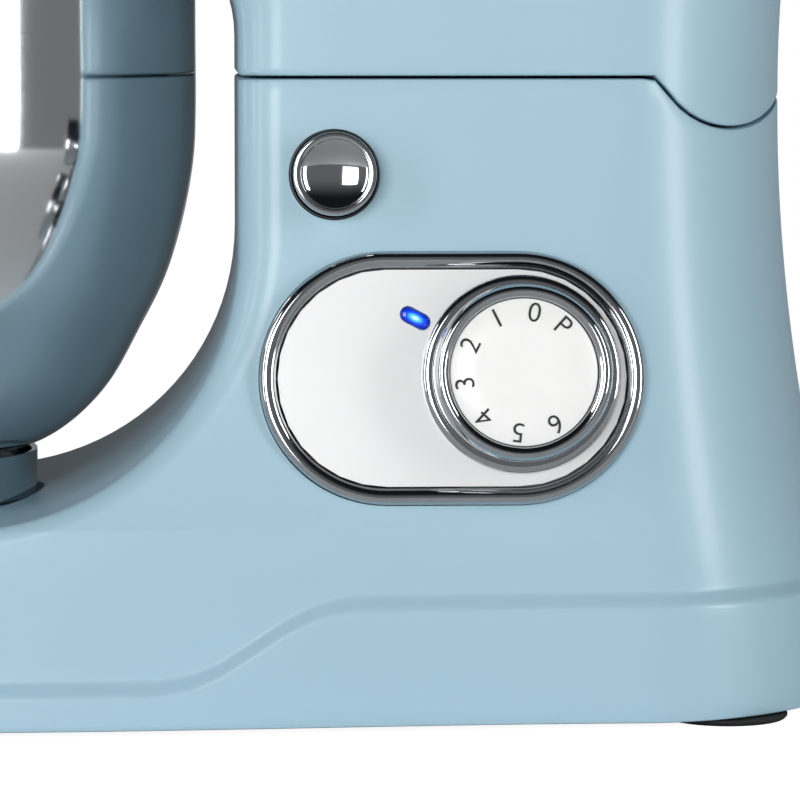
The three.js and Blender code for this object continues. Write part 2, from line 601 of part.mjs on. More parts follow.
// Release button.
const sleeve = [
  [BUTTON_RADIUS + 0.3, -SLEEVE_DEPTH], [SLEEVE_RADIUS, -SLEEVE_DEPTH], [SLEEVE_RADIUS, 0.6],
  [SLEEVE_RADIUS - 0.3, 1], [BUTTON_RADIUS + 0.3, 1],
];
piece("button_sleeve", BLACK, onButton(turned(sleeve, 28)));
const buttonTop = BUTTON_PROUD;
const button = [[0, -9]];
button.push([BUTTON_RADIUS - 0.1, -9], [BUTTON_RADIUS, 0], [BUTTON_RADIUS - 0.5, buttonTop - 1], [BUTTON_RADIUS - 1.3, buttonTop]);
for (const [r, d] of [[9.1, 0.05], [8.6, 0.6], [6.4, 1.5], [3.4, 2.1], [0, 2.3]]) button.push([r, buttonTop - d]);
piece("release_button", CHROME, onButton(turned(button, 28)));
const stemEnd = -(buttonSide + 9);
const stem = [[0, stemEnd], [3.2, stemEnd], [3.2, -17], [7, -17], [7, -9.3], [0, -9.3]];
piece("button_stem", BLACK, onButton(turned(stem, 20)));

// The button's spring, drawn as short as it is with the button pressed.
class Coil extends THREE.Curve {
  constructor(radius, from, to, turns) {
    super();
    Object.assign(this, { radius, from, to, turns });
  }
  getPoint(t, out = new THREE.Vector3()) {
    const a = 2 * Math.PI * this.turns * t;
    return out.set(this.radius * Math.cos(a), this.radius * Math.sin(a), this.from + (this.to - this.from) * t);
  }
}
const SPRING_LOW = -37;
const SPRING_HIGH = -17 - BUTTON_TRAVEL - 1.2;
const coilShape = new THREE.Shape(circle(0.7, 5).map(([x, y]) => new THREE.Vector2(x, y)));
const coil = new Coil(5, SPRING_LOW + 1, SPRING_HIGH - 1, 5);
piece("button_spring", STEEL, onButton(new THREE.ExtrudeGeometry(coilShape, { steps: 40, extrudePath: coil })));

// Hinge bracket, pin and rest pad; inlet gland at the rear.
const crosspiece = slab([[-30, -49], [-3, -49], [-3, -40], [-30, -40]].map(([x, z]) => [PIVOT_X + x, PIVOT_Z + z]), -30, 30);
const pinHole = (gap) => solid(bar(PIN_RADIUS + gap, -32, 32, PIVOT_X, PIVOT_Z, 28));
const lugs = sides(lugSpan, 0).map(([y0, y1]) => solid(slab(lugOutline(LUG_HALF, LUG_REACH), y0, y1)));
piece("hinge_bracket", STEEL, cut(join(solid(crosspiece), ...lugs), pinHole(0.05)));
piece("hinge_pin", STEEL, bar(PIN_RADIUS, -30, 30, PIVOT_X, PIVOT_Z, 28));
piece("rest_pad", BLACK, box(84.4, 107.6, -25.6, 25.6, SEAM - 1.3, SEAM + SEAM_GAP - CLEARANCE));
const gland = [[4, -12], [7, -12], [7, 0.4], [9, 0.4], [9, 1.4], [6.5, 2.6], [4, 2.6]];
const glandX = rearAt(20) + LEDGE;
piece("inlet_gland", BLACK, turned(gland, 24).rotateY(Math.PI / 2).translate(glandX, 0, 20));

// Bowl with its welded foot ring.
const bowlSweep = [
  [0, 10], [40, 11], [60, 15], [72, 21.6], [83, 33], [92, 49], [99, 63], [104, 79],
  [107.2, 96], [BOWL_RADIUS, 109],
].map(([r, up]) => [r, BASE_TOP + up]);
const bowlOuter = [
  ...bowlSweep,
  [BOWL_RADIUS, BOWL_RIM - 4],
  [BOWL_RADIUS + 1.6, BOWL_RIM - 2],
  [BOWL_RADIUS + 1.6, BOWL_RIM],
];
const bowlInner = bowlOuter
  .slice(0, -2)
  .map(([r, z], i) => [Math.max(0, r - BOWL_WALL * Math.min(1, i / 4)), z + (i < 5 ? BOWL_WALL : 0.3)])
  .reverse();
const bowlProfile = [...bowlOuter, [BOWL_RADIUS - BOWL_WALL, BOWL_RIM], ...bowlInner];
piece("bowl", STEEL, at(turned(bowlProfile, 36), AXIS_X, 0, 0));
const footRing = [
  [60.3, BASE_TOP + 1],
  [FOOT_OUTER, BASE_TOP + 1],
  [FOOT_OUTER, BASE_TOP + 14.2],
  [60.3, BASE_TOP + 13.6],
];
const bowlLugs = [0, 120, 240].map((a) => solid(plate(sector(56.6, 61, a - 17, a + 17), BASE_TOP + 1.8, BASE_TOP + 4)));
const bowlFoot = join(solid(turned(footRing, 36)), ...bowlLugs);
piece("bowl_foot", STEEL, at(geometryOf(bowlFoot), AXIS_X, 0, 0));

// ---------------------------------------------------------------- head

const headHollow = headSkin(WALL).intersect(solid(aboveSeam(SEAM_GAP + WALL, PIVOT_ROUND - WALL)));
const headBlock = headSkin(0).intersect(solid(aboveSeam(SEAM_GAP, PIVOT_ROUND)));
const slice = (z0, z1) => solid(box(-300, 300, -200, 200, z0, z1));
const lugSweep = [[PIVOT_X, PIVOT_Z]];
for (let a = 226; a <= 314; a += 11) {
  const t = THREE.MathUtils.degToRad(a);
  lugSweep.push([PIVOT_X + 34 * Math.cos(t), PIVOT_Z + 34 * Math.sin(t)]);
}
const headLugSlots = sides(lugSpan, 1).map(([y0, y1]) => solid(slab(lugSweep, y0, y1)));
const lowerWall = headBlock.intersect(slice(100, HEAD_PART - 1.6)).subtract(headHollow);
const cheeks = sides([18.5, 23.5], 0).map(([y0, y1]) =>
  solid(slab([[PIVOT_X - 16, PIVOT_Z - 15], [PIVOT_X + 10, PIVOT_Z - 20], [PIVOT_X + 9, PIVOT_Z + 9], [PIVOT_X - 9, PIVOT_Z + 9]], y0, y1)),
);
const HUB_Z = HEAD_PART + 20;
const hubCut = at(new THREE.CylinderGeometry(20.4, 20.4, 70, 36).rotateZ(Math.PI / 2), -180, 0, HUB_Z);
piece(
  "head_lower_shell",
  PAINT,
  cut(
    join(lowerWall, ...cheeks),
    pinHole(0.06),
    ...headLugSlots,
    solid(post(33, HEAD_UNDER - 4, HEAD_UNDER + 14, AXIS_X, 0, 40)),
    solid(box(STRIKE_X - 7.3, STRIKE_X + 7.3, -3.3, 3.3, SEAM - 4, SEAM + 8)),
    solid(hubCut.clone()),
  ),
);
piece("head_upper_shell", PAINT, headBlock.intersect(slice(HEAD_PART + 1.6, 400)).subtract(headHollow).subtract(solid(hubCut.clone())));
const band = headSkin(-0.7).intersect(slice(HEAD_PART - 1.3, HEAD_PART + 1.3)).subtract(headHollow);
piece("trim_band", CHROME, band.subtract(solid(hubCut.clone())));
const alongX = (profile, n, x, z) => turned(profile, n).rotateY(-Math.PI / 2).translate(x, 0, z);
const hubRing = [[16.5, -24], [20, -24], [20, 9], [18.5, 10.5], [16.5, 10.5]];
piece("hub_collar", CHROME, alongX(hubRing, 28, -176, HUB_Z));
const hubCap = [[0, -6], [16.1, -6], [16.1, 9.4], [14, 11], [5, 11], [4.4, 16], [3.6, 17], [0, 17]];
piece("hub_cap", CHROME, alongX(hubCap, 28, -176, HUB_Z));

// Latch strike: a fork over the button's stem, open along the way it leaves.
const stemZ = BUTTON_Z - buttonSide * Math.tan(BUTTON_TILT);
const leave = [-(stemZ - PIVOT_Z), STRIKE_X - PIVOT_X];
const leaveLength = Math.hypot(...leave);
const [ux, uz] = leave.map((v) => v / leaveLength);
const forkGap = 4.4;
const forkSlot = [[1, 0], [-1, 0], [-1, 30], [1, 30]].map(([across, along]) => [
  STRIKE_X - across * forkGap * uz + along * ux,
  stemZ + across * forkGap * ux + along * uz,
]);
const fork = cut(
  solid(slab([[STRIKE_X - 7, stemZ - 6], [STRIKE_X + 7, stemZ - 6], [STRIKE_X + 7, SEAM + 6.7], [STRIKE_X - 7, SEAM + 6.7]], -3, 3)),
  solid(bar(forkGap, -10, 10, STRIKE_X, stemZ, 20)),
  solid(slab(forkSlot, -10, 10)),
);
piece("latch_strike", STEEL, join(fork, solid(box(STRIKE_X - 12, STRIKE_X + 12, -9, 9, SEAM + 4.2, SEAM + 6.7))));

// ---------------------------------------------------------------- drive train

// Outline of a straight-flanked gear. A positive `inward` gives the tooth spaces of an internal gear.
function gearOutline(teeth, module, phase = 0, inward = 0, slack = 0.05) {
  const pitch = (teeth * module) / 2;
  const step = (2 * Math.PI) / teeth;
  const tip = inward ? pitch - 0.8 * module : pitch + 0.8 * module;
  const root = inward ? pitch + 1.15 * module : pitch - 1.1 * module;
  const wide = inward ? [0.12, 0.27] : [0.11, 0.25];
  const points = [];
  for (let i = 0; i < teeth; i++) {
    const a = phase + i * step;
    for (const [r, w] of [[root, -wide[1]], [tip, -wide[0]], [tip, wide[0]], [root, wide[1]]])
      points.push([r * Math.cos(a + (w - Math.sign(w) * slack) * step), r * Math.sin(a + (w - Math.sign(w) * slack) * step)]);
  }
  return points;
}

const PLANET_X = AXIS_X - PLANET_OFFSET;
const aboveUnder = (...heights) => heights.map((h) => HEAD_UNDER + h);
const [HUB_LOW, HUB_TOP] = aboveUnder(-15, -2.5);
const RING_Z = aboveUnder(5, 12);
const CARRIER_Z = aboveUnder(13.2, 16.2);
const PLATE_LOW_Z = aboveUnder(17.5, 20.5);
const GEAR_Z = aboveUnder(22.5, 28.5);
const PLATE_HIGH_Z = aboveUnder(31.5, 34.5);
const PULLEY_Z = aboveUnder(38, 49);
const shaftHole = (r, x, z0, z1) => solid(post(r, z0, z1, x, 0, 24));

// Planet carrier: the turned cover seen under the head, the upper plate and the central shaft.
const cover = turned(
  [[0, HUB_LOW], [HUB_RADIUS - 5, HUB_LOW], [HUB_RADIUS, HUB_LOW + 5], [HUB_RADIUS, HUB_TOP], [0, HUB_TOP]],
  32,
);
piece(
  "planet_hub",
  STEEL,
  cut(
    join(solid(at(cover, AXIS_X, 0, 0)), shaftHole(30, AXIS_X, HUB_TOP - 1, HUB_TOP + 6)),
    shaftHole(SHAFT_RADIUS + 0.05, AXIS_X, HUB_LOW + 4, HUB_TOP + 20),
    shaftHole(SHAFT_RADIUS + 0.35, PLANET_X, HUB_LOW - 9, HUB_TOP + 20),
  ),
);
piece(
  "central_shaft",
  STEEL,
  cut(
    join(shaftHole(32, AXIS_X, ...CARRIER_Z), shaftHole(SHAFT_RADIUS, AXIS_X, HUB_LOW + 4.5, GEAR_Z[1] + 1.5)),
    shaftHole(SHAFT_RADIUS + 0.35, PLANET_X, RING_Z[1], PLATE_LOW_Z[0]),
  ),
);
const holeAt = (r, x, y = 0, n = 24) => circle(r, n, x, y);
piece(
  "carrier_gear",
  BRASS,
  at(plate(gearOutline(CARRIER_TEETH, TRAIN_MODULE), ...GEAR_Z, [holeAt(SHAFT_RADIUS + 0.05, 0)]), AXIS_X, 0, 0),
);
piece(
  "ring_gear",
  STEEL,
  at(plate(circle(43, 36), ...RING_Z, [gearOutline(RING_TEETH, PLANET_MODULE, Math.PI / RING_TEETH, 1)]), AXIS_X, 0, 0),
);
piece(
  "planet_gear",
  BRASS,
  at(plate(gearOutline(PLANET_TEETH, PLANET_MODULE), RING_Z[0] + 0.3, RING_Z[1] - 0.3, [holeAt(SHAFT_RADIUS + 0.05, 0)]), PLANET_X, 0, 0),
);
const PIN_Z = HUB_LOW - 12;
const crossHole = solid(bar(1.6, -12, 12, PLANET_X, PIN_Z, 12));
piece("output_shaft", STEEL, cut(solid(post(SHAFT_RADIUS, PIN_Z - 19, CARRIER_Z[1], PLANET_X, 0, 24)), crossHole));
piece("output_pin", STEEL, bar(1.5, -9, 9, PLANET_X, PIN_Z, 12));

// Flat beater: a rounded frame with a spine and two bars, and a collar round the shaft.
// Its outline and windows are one side of it, as [half width, height over its lowest point].
const BEATER_LOW = BASE_TOP + 14;
const beaterHalf = [
  [18, 0], [34, 4], [46, 11], [54, 21], [61, 37], [65.5, 57], [64, 75], [53, 91], [33, 102], [12, 108],
];
const beaterWindows = [
  [[30, 11], [41, 19], [48, 31], [5, 31], [5, 9]],
  [[51, 39], [55.5, 55], [56, 63], [5, 63], [5, 39]],
  [[55, 71], [52, 78], [44, 86], [31, 93], [5, 96], [5, 71]],
];
const beaterSide = (points, side) => {
  const placed = points.map(([x, up]) => [side * x, BEATER_LOW + up]);
  return side > 0 ? placed : placed.reverse();
};
const frameOutline = [...beaterSide(beaterHalf, 1), ...beaterSide(beaterHalf, -1)];
const windows = beaterWindows.flatMap((w) => [1, -1].map((side) => solid(slab(beaterSide(w, side), -9, 9))));
const beaterCollar = solid(post(8.6, BEATER_LOW + 101, PIN_Z - 2.4, 0, 0, 24));
const beater = join(cut(solid(slab(frameOutline, -3.5, 3.5)), ...windows), beaterCollar);
const beaterBore = solid(post(SHAFT_RADIUS + 0.25, PIN_Z - 19.4, PIN_Z + 3, 0, 0, 24));
piece("flat_beater", STEEL, cut(beater, beaterBore).translate([PLANET_X, 0, 0]));

// Layshaft: pinion into the carrier gear, pulley driven by the motor's belt.
piece(
  "pinion",
  STEEL,
  at(plate(gearOutline(PINION_TEETH, TRAIN_MODULE, Math.PI / PINION_TEETH), ...GEAR_Z, [holeAt(4.05, 0)]), LAYSHAFT_X, 0, 0),
);
piece("layshaft", STEEL, post(4, PLATE_LOW_Z[0] - 2, PULLEY_Z[1] + 3, LAYSHAFT_X, 0, 20));
function pulley(radius, bore, x, sides) {
  const [z0, z1] = PULLEY_Z;
  const groove = radius - BELT_THICKNESS - 0.2;
  const profile = [[bore, z0], [radius, z0], [radius, z0 + 0.9], [groove, z0 + 0.9], [groove, z1 - 0.9], [radius, z1 - 0.9]];
  profile.push([radius, z1], [bore, z1]);
  return at(turned(profile, sides), x, 0, 0);
}
piece("driven_pulley", BLACK, pulley(PULLEY_RADIUS, 4.05, LAYSHAFT_X, 32));
piece("motor_pulley", STEEL, pulley(MOTOR_PULLEY_RADIUS, 4.05, MOTOR_X, 20));

// Belt: a loop round both pulleys.
function beltLoop(extra, n = 10) {
  const [r0, r1] = [PULLEY_RADIUS, MOTOR_PULLEY_RADIUS].map((r) => r - BELT_THICKNESS + extra);
  const lean = Math.acos((r0 - r1) / (MOTOR_X - LAYSHAFT_X));
  const arc = (x, r, from, to, steps) =>
    Array.from({ length: steps + 1 }, (_, i) => {
      const a = from + ((to - from) * i) / steps;
      return [x + r * Math.cos(a), r * Math.sin(a)];
    });
  return [...arc(LAYSHAFT_X, r0, lean, 2 * Math.PI - lean, 2 * n), ...arc(MOTOR_X, r1, -lean, lean, n)];
}
piece("drive_belt", BLACK, plate(beltLoop(BELT_THICKNESS - 0.3), PULLEY_Z[0] + 1.2, PULLEY_Z[1] - 1.2, [beltLoop(0.2)]));

// Gearbox plates fixed in the head, on four posts.
const gearbox = [[-142, -30], [-142, 30], [-128, 40], [-44, 40], [-32, 26], [-32, -26], [-44, -40], [-128, -40]].reverse();
const gearboxPlate = (z) => solid(plate(gearbox, ...z, [holeAt(SHAFT_RADIUS + 0.3, AXIS_X), holeAt(4.3, LAYSHAFT_X)]));
const postSpots = [[-134, 29], [-134, -29], [-46, 33], [-46, -33]];
const gearboxPosts = postSpots.map(([x, y]) => solid(post(4, PLATE_LOW_Z[1] - 1, PLATE_HIGH_Z[0] - 0.3, x, y, 16)));
piece("gearbox_plate", STEEL, join(gearboxPlate(PLATE_LOW_Z), ...gearboxPosts));
piece("gearbox_cover", STEEL, gearboxPlate(PLATE_HIGH_Z));

// Motor: frame, stator, rotor with its commutator and fan, and the two brushes.
const [MOTOR_FOOT, MOTOR_LOW, MOTOR_HIGH] = aboveUnder(-45, 51.5, 102);
const frameSide = [[-34, MOTOR_FOOT], [34, MOTOR_FOOT], [34, MOTOR_HIGH], [-34, MOTOR_HIGH]];
const frameWindow = [[-31, MOTOR_FOOT + 4], [31, MOTOR_FOOT + 4], [31, MOTOR_LOW], [-31, MOTOR_LOW]];
const frameUpper = [[-31, MOTOR_LOW + 3], [31, MOTOR_LOW + 3], [31, MOTOR_HIGH - 3], [-31, MOTOR_HIGH - 3]];
const acrossX = (outline, x0, x1, holes) => plate(outline, x0, x1, holes).rotateX(Math.PI / 2).rotateZ(Math.PI / 2);
piece(
  "motor_frame",
  STEEL,
  cut(solid(acrossX(frameSide, MOTOR_X - 12, MOTOR_X + 12, [frameWindow, frameUpper])), shaftHole(4.3, MOTOR_X, MOTOR_LOW - 20, MOTOR_HIGH + 10)),
);
const stator = [[-27, -22], [-22, -27], [22, -27], [27, -22], [27, 22], [22, 27], [-22, 27], [-27, 22]];
piece("motor_stator", STEEL, at(plate(stator, MOTOR_LOW + 5.5, MOTOR_LOW + 29.5, [holeAt(21, 0, 0, 32)]), MOTOR_X, 0, 0));
const rotorTeeth = [];
for (let i = 0; i < 12; i++)
  for (const [r, w] of [[15, -0.42], [20.4, -0.42], [20.4, 0, 1], [20.4, 0.42], [15, 0.42]]) {
    const a = ((i + w) * Math.PI) / 6;
    rotorTeeth.push([r * Math.cos(a), r * Math.sin(a)]);
  }
piece("rotor_core", STEEL, at(plate(rotorTeeth, MOTOR_LOW + 6, MOTOR_LOW + 29, [holeAt(4.05, 0, 0, 20)]), MOTOR_X, 0, 0));
piece("motor_shaft", STEEL, post(4, PULLEY_Z[0] - 2, MOTOR_HIGH - 1, MOTOR_X, 0, 20));
piece("commutator", 0xb87346, at(turned([[4.05, MOTOR_HIGH - 13.5], [9, MOTOR_HIGH - 13.5], [9, MOTOR_HIGH - 6], [7, MOTOR_HIGH - 4], [4.05, MOTOR_HIGH - 4]], 24), MOTOR_X, 0, 0));
const FAN_LOW = MOTOR_LOW + 30.5;
const fanBlades = Array.from({ length: 10 }, (_, i) =>
  solid(box(8, 24, -0.7, 0.7, FAN_LOW + 1.6, FAN_LOW + 5.6).rotateZ((i * Math.PI) / 5)),
);
const fanDisc = solid(post(25, FAN_LOW, FAN_LOW + 2, 0, 0, 36));
const fanHub = solid(post(9, FAN_LOW, FAN_LOW + 5.6, 0, 0, 24));
const fan = cut(join(fanDisc, fanHub, ...fanBlades), solid(post(4.05, FAN_LOW - 5, FAN_LOW + 9, 0, 0, 20)));
piece("motor_fan", BLACK, fan.translate([MOTOR_X, 0, 0]));
for (const [name, s] of [["brush_left", -1], ["brush_right", 1]])
  piece(name, BRASS, box(MOTOR_X - 4, MOTOR_X + 4, Math.min(s * 9.4, s * 26), Math.max(s * 9.4, s * 26), MOTOR_HIGH - 12.4, MOTOR_HIGH - 6.4));

export default mixer;
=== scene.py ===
"""Dresses a packed tilt-head stand mixer: painted shells, bowl, controls, materials and studio."""

import json
import math

import bmesh
import bpy
from mathutils import Matrix, Vector


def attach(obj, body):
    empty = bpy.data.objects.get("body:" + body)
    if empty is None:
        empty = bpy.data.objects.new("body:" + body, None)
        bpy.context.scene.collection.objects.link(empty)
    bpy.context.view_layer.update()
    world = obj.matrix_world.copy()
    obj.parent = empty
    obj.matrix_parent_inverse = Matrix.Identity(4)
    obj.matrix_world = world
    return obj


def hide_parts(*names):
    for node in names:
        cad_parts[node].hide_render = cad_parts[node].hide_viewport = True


bl_info = {
    "name": "Stand mixer looks",
    "version": (1, 0, 0),
    "blender": (4, 5, 0),
    "location": "View3D > Sidebar > Mixer",
    "description": "Dresses the packed stand mixer with smooth shells, materials and a studio",
    "category": "Object",
}

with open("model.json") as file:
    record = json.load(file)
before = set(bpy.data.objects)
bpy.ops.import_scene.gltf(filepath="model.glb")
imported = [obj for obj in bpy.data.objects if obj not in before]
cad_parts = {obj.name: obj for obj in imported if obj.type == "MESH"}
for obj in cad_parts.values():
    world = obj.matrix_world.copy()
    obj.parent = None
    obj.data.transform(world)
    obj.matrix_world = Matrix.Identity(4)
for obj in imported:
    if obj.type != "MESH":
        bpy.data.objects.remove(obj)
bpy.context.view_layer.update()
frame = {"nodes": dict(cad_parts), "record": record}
NODES = frame["nodes"]
MM = 0.001

# ---------------------------------------------------------------- dimensions in millimetres, as in the CAD

AXIS_X = -93.0
BOWL_RADIUS = 108.0
BOWL_RIM = 209.0
BASE_LOW = 2.2
BASE_TOP = 56.0
SEAM = 176.5
SEAM_GAP = 0.8
FRONT_REACH = 100.0
COLUMN_FRONT = 26.6
COVE_RADIUS = 75.0
WAIST_HALF = 76.0
SIDE_FLARE = 11.0
FRONT_SPREAD = 8.5
LEDGE = 3.0
LINE_LOW, LINE_HIGH = 12.5, 34.8
LINE_FROM, LINE_TO = 3.0, 59.0
REAR_WAIST = 181.9
REAR_FLARE = 0.001
DECK_EDGE = 4.5
COLUMN_EDGE = 12.0
PIVOT_X, PIVOT_Z = 162.9, SEAM + 10.7
PIVOT_ROUND = 24.0
HEAD_UNDER = SEAM + 49.7
HEAD_PART = HEAD_UNDER + 26
HEAD_TOP = HEAD_PART + 92
HEAD_CROWN_X = 60.0
NOSE_X = -178.0
NOSE_LENGTH = 78.0
HEAD_SWELL = 2.0
HEAD_TAPER = 0.14
HEAD_EDGE = 16.0
DOME_POWER = 2.3
COVE_TOP_RADIUS = 38.0
COVE_TOP_Z = HEAD_UNDER - COVE_TOP_RADIUS
COVE_TOP_X = COLUMN_FRONT - COVE_TOP_RADIUS
WALL = 3.0
PANEL_X, PANEL_Z = 84.0, 95.8
PANEL_LENGTH, PANEL_HEIGHT = 104.2, 68.4
PANEL_TILT = math.radians(7)
DIAL_U, DIAL_V = 18.6, 1.0
LENS_U, LENS_V = -10.0, 16.2
DIAL_RADIUS = 24.2
DIAL_FACE_RADIUS = 19.8
DIAL_PROUD = 15.0
COLLAR_RADIUS = 26.8
BUTTON_X, BUTTON_Z = 52.4, SEAM - 25.8
BUTTON_TILT = math.atan(SIDE_FLARE * 4 * 0.198 / (SEAM - 40))
BUTTON_RADIUS = 11.35
BUTTON_PROUD = 9.0
SLEEVE_RADIUS = 12.2
FOOT_OUTER = 62.0
FOOT_INNER = 60.3
HUB_Z = HEAD_PART + 20
HUB_BORE = 20.4
LENS_TILT = math.radians(-26.6)
LUG_SLOTS = (7, 17)
FOOT_RADIUS = 17.3
FOOT_PLACES = {"front": (-131.0, 66.0), "rear": (160.7, 66.0)}


def clamp(value, low=0.0, high=1.0):
    return max(low, min(high, value))


def ease(t):
    t = clamp(t)
    return t * t * (3 - 2 * t)


def lerp(a, b, t):
    return a + (b - a) * t


# ---------------------------------------------------------------- shape of the base and the head


def style_line(x):
    """Height of the moulded line along the base's side."""
    t = clamp((x - LINE_FROM) / (LINE_TO - LINE_FROM))
    straight = t - math.sin(2 * math.pi * t) / (2 * math.pi)
    return LINE_LOW + (LINE_HIGH - LINE_LOW) * (0.4 * straight + 0.6 * ease(t))


def seam_height(x, up=0.0, round_off=PIVOT_ROUND + SEAM_GAP):
    """Height of the line between base and head: level, over a shoulder and round the hinge."""
    reach = x - PIVOT_X
    if abs(reach) >= round_off:
        return SEAM + up if reach < 0 else PIVOT_Z
    dip = PIVOT_Z - math.sqrt(round_off**2 - reach**2)
    if reach > 0:
        return dip
    # The shoulder is rounded: a smooth minimum of the level and the arc.
    blend = 5.0
    h = clamp(0.5 + 0.5 * (dip - SEAM - up) / blend)
    return lerp(dip, SEAM + up, h) - blend * h * (1 - h)


def side_at(x, z):
    """Half the width of the base and column above the style line."""
    t = clamp((SEAM - z) / (SEAM - 40))
    spread = FRONT_SPREAD * ease((130 - x) / 170) * clamp((SEAM - z) / (SEAM - BASE_TOP)) ** 4
    return WAIST_HALF + SIDE_FLARE * (2 * t * t - t**4) + spread


def rear_at(z):
    return REAR_WAIST + REAR_FLARE * (SEAM - 7 - max(z, LINE_HIGH)) ** 2


def rear_centre_at(z):
    return 126 + 9 * clamp((SEAM - z) / (SEAM - LINE_HIGH))


FRONT_SHARE, CORNER_SHARE, SIDE_SHARE = 0.30, 0.44, 0.66


def base_point(u, z, out=0.0, inset=0.0, column=False):
    """A point on the -Y half of the base's outline at height z; u runs from 0, the front, to 1, the rear."""
    cove = COVE_RADIUS + inset
    centre_x = COLUMN_FRONT - COVE_RADIUS
    drop = max(0.0, BASE_TOP + COVE_RADIUS - z)
    edge = lerp(COLUMN_EDGE, DECK_EDGE, min(1.0, drop / COVE_RADIUS)) if column else DECK_EDGE
    reach = math.sqrt((cove + edge) ** 2 - cove**2)
    below = clamp((BASE_TOP - inset - z) / edge)
    first = 0.0 if column else math.acos(1 - below)
    drawn = edge if column else edge * (1 - math.sin(first))

    def side(x):
        return side_at(x, z) + out - inset

    if u < FRONT_SHARE:
        t = u / FRONT_SHARE
        if column:
            x = centre_x + math.sqrt(max(0.0, cove**2 - drop**2))
            return x, -t * (side(x) - edge)
        bend = min(1.0, t * 1.5) * (math.pi / 2)
        reach_x = FRONT_REACH + out - inset - drawn
        if t * 1.5 < 1:
            return AXIS_X - reach_x * math.cos(bend), -(side(AXIS_X) - drawn) * math.sin(bend)
        x = AXIS_X + (t * 3 - 2) * (centre_x - AXIS_X)
        return x, -(side(x) - drawn)

    def corner(i):
        """The rounded edge between the front face and the side, i from 0 to 1."""
        beta = lerp(first, math.pi / 2, i)
        wide = (cove + edge * (1 - math.cos(beta))) ** 2 - drop**2
        x = centre_x + (reach * i if not column and below >= 1 else math.sqrt(max(0.0, wide)))
        return x, -(side(x) - edge * (1 - math.sin(beta)))

    if u <= CORNER_SHARE:
        return corner((u - FRONT_SHARE) / (CORNER_SHARE - FRONT_SHARE))
    start = corner(1.0)[0]
    if u < SIDE_SHARE:
        x = lerp(start, rear_centre_at(z), (u - CORNER_SHARE) / (SIDE_SHARE - CORNER_SHARE))
        return x, -side(x)
    a = (math.pi / 2) * (u - SIDE_SHARE) / (1 - SIDE_SHARE)
    c = rear_centre_at(z)
    return c + (rear_at(z) + out - inset - c) * math.sin(a), -side(c) * math.cos(a)


def head_side_at(x, z):
    swell = HEAD_SWELL * ease((z - SEAM) / (HEAD_PART - SEAM))
    return (WAIST_HALF + swell) * (1 - HEAD_TAPER * ease((HEAD_CROWN_X - x) / 200))


def head_rear_at(z):
    return REAR_WAIST + 3.5 * ease((z - SEAM) / (HEAD_PART - SEAM))


def head_point(u, z, inset=0.0, neck=False, shrink=1.0):
    """A point on the -Y half of the head's outline at height z. Below the underside it is the neck."""
    cove = COVE_TOP_RADIUS + inset
    rise = max(0.0, z - COVE_TOP_Z)
    edge = lerp(COLUMN_EDGE, HEAD_EDGE, min(1.0, rise / COVE_TOP_RADIUS)) if neck else HEAD_EDGE
    reach = math.sqrt((cove + edge) ** 2 - cove**2)
    above = clamp((z - HEAD_UNDER - inset) / edge)
    first = 0.0 if neck else math.acos(1 - above)
    drawn = edge if neck else edge * (1 - math.sin(first))
    level = min(z, HEAD_PART)
    nose = NOSE_X + NOSE_LENGTH

    def side(x):
        return head_side_at(x, level) - inset

    def corner(i):
        beta = lerp(first, math.pi / 2, i)
        wide = (cove + edge * (1 - math.cos(beta))) ** 2 - rise**2
        x = COVE_TOP_X + (reach * i if not neck and above >= 1 else math.sqrt(max(0.0, wide)))
        return x, -(side(x) - edge * (1 - math.sin(beta)))

    if u < FRONT_SHARE:
        t = u / FRONT_SHARE
        if neck:
            x = COVE_TOP_X + math.sqrt(max(0.0, cove**2 - rise**2))
            y = -t * (side(x) - edge)
        elif t * 1.5 < 1:
            bend = t * 1.5 * (math.pi / 2)
            x = nose - (NOSE_LENGTH - inset - drawn) * math.cos(bend)
            y = -(side(nose) - drawn) * math.sin(bend)
        else:
            x = nose + (t * 3 - 2) * (COVE_TOP_X - nose)
            y = -(side(x) - drawn)
    elif u <= CORNER_SHARE:
        x, y = corner((u - FRONT_SHARE) / (CORNER_SHARE - FRONT_SHARE))
    else:
        centre = rear_centre_at(SEAM)
        if u < SIDE_SHARE:
            x = lerp(corner(1.0)[0], centre, (u - CORNER_SHARE) / (SIDE_SHARE - CORNER_SHARE))
            y = -side(x)
        else:
            a = (math.pi / 2) * (u - SIDE_SHARE) / (1 - SIDE_SHARE)
            x = centre + (head_rear_at(level) - inset - centre) * math.sin(a)
            y = -side(centre) * math.cos(a)
    return HEAD_CROWN_X + (x - HEAD_CROWN_X) * shrink, y * shrink


def stations(count=84):
    """Places along a half outline, evenly spread in each of its four stretches."""
    shares = [(0.0, FRONT_SHARE, 0.30), (FRONT_SHARE, CORNER_SHARE, 0.18)]
    shares += [(CORNER_SHARE, SIDE_SHARE, 0.22), (SIDE_SHARE, 1.0, 0.30)]
    places = []
    for low, high, share in shares:
        steps = round(count * share)
        places += [lerp(low, high, i / steps) for i in range(steps)]
    return places + [1.0]


def ring(point, height, **facts):
    """A closed ring of 3-D points from its half outline, at a height that may depend on x."""
    half = []
    for u in stations():
        z = height(0.0)
        for _ in range(5):
            x, y = point(u, z, **facts)
            z = height(x)
        x, y = point(u, z, **facts)
        half.append((x, y, z))
    half[0] = (half[0][0], 0.0, half[0][2])
    half[-1] = (half[-1][0], 0.0, half[-1][2])
    return half + [(x, -y, z) for x, y, z in reversed(half[1:-1])]


# ---------------------------------------------------------------- meshes


